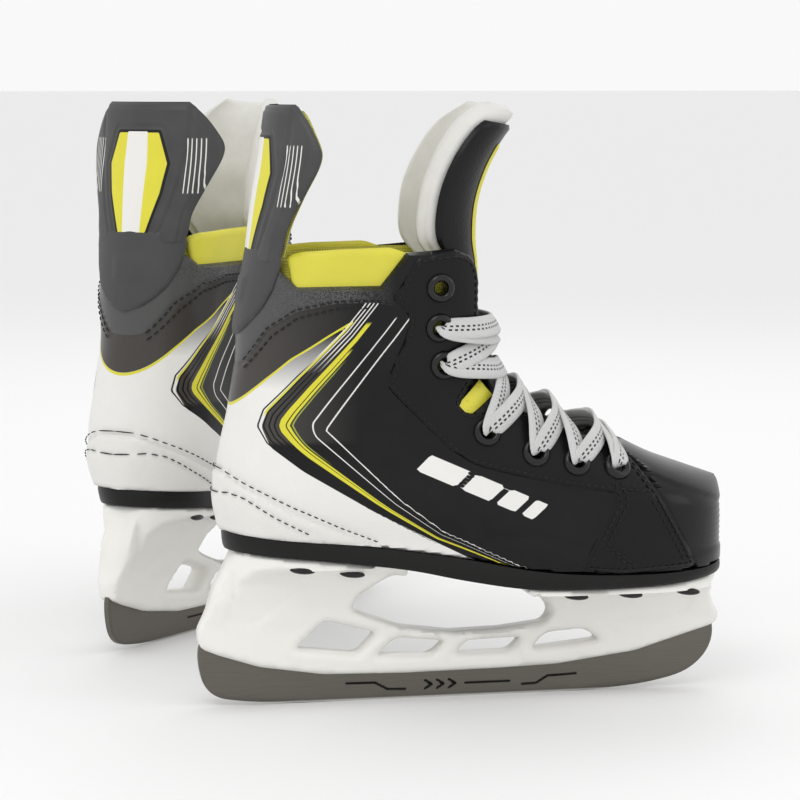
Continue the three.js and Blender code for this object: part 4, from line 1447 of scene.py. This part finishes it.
# ---- eyelets and laces --------------------------------------------------------------------------
@dataclass(frozen=True)
class Lacing:
    """The eyelet rings and the flat lace that crosses the tongue."""

    bench: Bench
    ring: tuple = ((2.6, -2.6), (2.6, 1.2), (2.9, 2.2), (3.6, 2.9), (4.5, 2.95), (5.3, 2.5), (5.8, 1.6),
                   (5.9, 0.4), (3.1, 0.0), (3.1, -2.6))
    wide: float = 9.0
    thick: float = 1.3

    def build(self) -> None:
        """Build and dress each piece."""
        for side, word in ((-1, "outer"), (1, "inner")):
            for i, (x, z) in enumerate(EYELETS):
                name = f"eyelet_{word}_{i + 1}"
                nodes = [name] if self.bench.stand.name(name) in frame["nodes"] else []
                self.bench.make(f"ring_{word}_{i + 1}", self._ring(x, z, side), RING, nodes=nodes, sharp=50)
        strips = [self._strip(EYELETS[k + 1], EYELETS[k], side,
                              1.9 + (0.9 if side > 0 else 0) + 0.25 * (k % 2))
                  for k in range(1, len(EYELETS) - 1) for side in (-1, 1)]
        strips.append(self._strip(EYELETS[-1], EYELETS[-1], -1, 1.2))
        strips.append(self._strip(EYELETS[1], EYELETS[1], -1, 3.4))
        whole = strips[0]
        for strip in strips[1:]:
            whole = whole.joined(strip)
        self.bench.make("lace_woven", whole, LACE, nodes=["lace"], sharp=None)

    def _frame(self, x: float, z: float, side: int) -> tuple[Points, Points]:
        """Give the surface point and its normal at an eyelet."""
        turned = FORM.to_turn(np.array([(x, z)]))
        low, high = FORM.at(turned)[0], FORM.at(turned, 1.0)[0]
        normal = (high - low) / np.linalg.norm(high - low)
        return low * (1, side, 1), normal * (1, side, 1)

    def _ring(self, x: float, z: float, side: int, around: int = 28) -> Skin:
        """Turn one eyelet's section round its hole."""
        middle, normal = self._frame(x, z, side)
        up = np.array([0.0, 0.0, 1.0])
        right = np.cross(up, normal)
        right /= np.linalg.norm(right)
        up = np.cross(normal, right)
        points = [middle + normal * h + (right * math.cos(a) + up * math.sin(a)) * r
                  for r, h in self.ring for a in np.linspace(0, 2 * math.pi, around + 1)[:-1]]
        faces = grid_faces(len(self.ring), around, True)
        last = (len(self.ring) - 1) * around
        faces += [(last + k, last + (k + 1) % around, (k + 1) % around, k) for k in range(around)]
        return Skin(np.array(points), faces)

    def _strip(self, start: tuple, end: tuple, side: int, lift: float) -> Skin:
        """Lay one flat run of lace from an eyelet up and over to one on the other side."""
        (ax, az), (bx, bz) = start, end
        middle = np.array([(ax + bx) / 2, (az + bz) / 2])
        crest = FORM.instep[np.argmin(np.linalg.norm(FORM.instep - middle, axis=1))]
        path = []
        for t, rise in ((0.0, 0.4), (0.06, 2.9), (0.22, 3.6), (0.5, lift + 1.2), (0.78, lift)):
            x, z = ax + (crest[0] - ax) * t, az + (crest[1] - az) * t
            point, normal = self._frame(x, z, side)
            path.append(point + normal * rise)
        away = np.array([crest[0] - middle[0], 0, crest[1] - middle[1]])
        away = away / max(1e-6, np.linalg.norm(away))
        path.append(np.array([crest[0], 0, crest[1]]) + away * lift)
        for t, rise in ((0.78, lift), (0.5, lift + 1.2), (0.22, 3.6), (0.06, 2.9), (0.0, 0.4)):
            x, z = bx + (crest[0] - bx) * t, bz + (crest[1] - bz) * t
            point, normal = self._frame(x, z, -side)
            path.append(point + normal * rise)
        line = even_line(smooth_line(path, 6), 1.2)
        n = len(line)
        tangent = np.gradient(line, axis=0)
        tangent /= np.linalg.norm(tangent, axis=1)[:, None]
        radial = np.stack([np.full(n, 20.0), line[:, 1], np.full(n, 12.0)], 1)
        across = np.cross(tangent, radial)
        across /= np.linalg.norm(across, axis=1)[:, None]
        out = np.cross(across, tangent)
        reach = np.concatenate([[0], np.cumsum(np.linalg.norm(np.diff(line, axis=0), axis=1))])
        pinch = quarter_round(np.minimum(reach, reach[-1] - reach) / 9.0)
        wide = self.wide * (0.42 + 0.58 * pinch)
        section = [(-1, 0), (-0.86, 0.5), (-0.4, 0.55), (0, 0.6), (0.4, 0.55), (0.86, 0.5),
                   (1, 0), (0.86, -0.5), (0.4, -0.5), (0, -0.5), (-0.4, -0.5), (-0.86, -0.5)]
        curl = 0.35 * np.sin(reach / 7.0 + ax)[:, None]
        points = np.stack([
            line + across * (u * wide / 2)[:, None] + out * (v * self.thick + curl * (u * u - 0.4))
            for u, v in section], 1)
        faces = grid_faces(n, len(section), True)
        faces += [tuple(range(len(section) - 1, -1, -1)),
                  tuple((n - 1) * len(section) + k for k in range(len(section)))]
        u = np.array([s[0] for s in section])
        values = {"along": np.repeat(reach, len(section)), "across": np.tile(u * self.wide / 2, n),
                  "tracer": np.ones(n * len(section))}
        return Skin(points.reshape(-1, 3), faces, values)


# ---- the pair and its setting -------------------------------------------------------------------
@dataclass(frozen=True)
class Skate:
    """One whole skate."""

    side: Side

    def build(self) -> None:
        """Build its sub-assemblies in the order that a maker would."""
        bench = Bench(Stand(self.side))
        for assembly in (Undercarriage, Upper, Tongue, Guard, Lacing):
            LOG.info("%s %s", self.side.value, assembly.__name__)
            assembly(bench).build()
        board = frame["nodes"][bench.stand.name("insole_board")]
        board.data.materials.clear()
        board.data.materials.append(FIBRE.material())


@dataclass(frozen=True)
class Studio:
    """A plain pale floor, soft light and the camera."""

    eye: tuple[float, float, float] = (-0.2726, -1.1687, 0.253)
    target: tuple[float, float, float] = (-0.0218, 0.0108, 0.122)
    lens: float = 133.0

    def build(self) -> None:
        """Set the scene."""
        self._floor()
        self._camera()
        self._light("key", (-0.55, -0.9, 1.3), 0.7, 5.0)
        self._light("fill", (1.3, -0.8, 0.7), 0.7, 1.6)
        self._light("rim", (0.3, 1.2, 1.2), 0.9, 2.5)
        world = bpy.data.worlds.new("studio_air")
        bpy.context.scene.world = world
        world.use_nodes = True
        world.node_tree.nodes["Background"].inputs[0].default_value = (1, 1, 1, 1)
        world.node_tree.nodes["Background"].inputs[1].default_value = 0.95
        bpy.context.scene.view_settings.view_transform = "Standard"

    def _floor(self) -> None:
        """Lay the floor."""
        mesh = bpy.data.meshes.new("floor")
        r = 60.0
        mesh.from_pydata([(-r, -r, 0), (r, -r, 0), (r, r, 0), (-r, r, 0)], [], [(0, 1, 2, 3)])
        floor = bpy.data.objects.new("floor", mesh)
        bpy.context.scene.collection.objects.link(floor)
        material = bpy.data.materials.new("pale_floor")
        material.use_nodes = True
        shader = material.node_tree.nodes["Principled BSDF"]
        shader.inputs["Base Color"].default_value = (0.86, 0.86, 0.86, 1)
        shader.inputs["Roughness"].default_value = 0.7
        mesh.materials.append(material)

    def _camera(self) -> None:
        """Stand the camera."""
        data = bpy.data.cameras.new("camera")
        data.lens = self.lens
        data.sensor_width = 36.0
        camera = bpy.data.objects.new("camera", data)
        camera.location = self.eye
        camera.rotation_euler = (Vector(self.target) - Vector(self.eye)).to_track_quat("-Z", "Y").to_euler()
        bpy.context.scene.collection.objects.link(camera)
        bpy.context.scene.camera = camera

    def _light(self, name: str, place: tuple, size: float, watts: float) -> None:
        """Hang one soft light that faces the pair."""
        data = bpy.data.lights.new(name, "AREA")
        data.size = size
        data.energy = watts
        light = bpy.data.objects.new(name, data)
        light.location = place
        light.rotation_euler = (Vector((0, 0.08, 0.1)) - Vector(place)).to_track_quat("-Z", "Y").to_euler()
        bpy.context.scene.collection.objects.link(light)


def main() -> None:
    """Build the studio and both skates."""
    Studio().build()
    for side in Side:
        Skate(side).build()


if __name__ == "__main__":
    main()
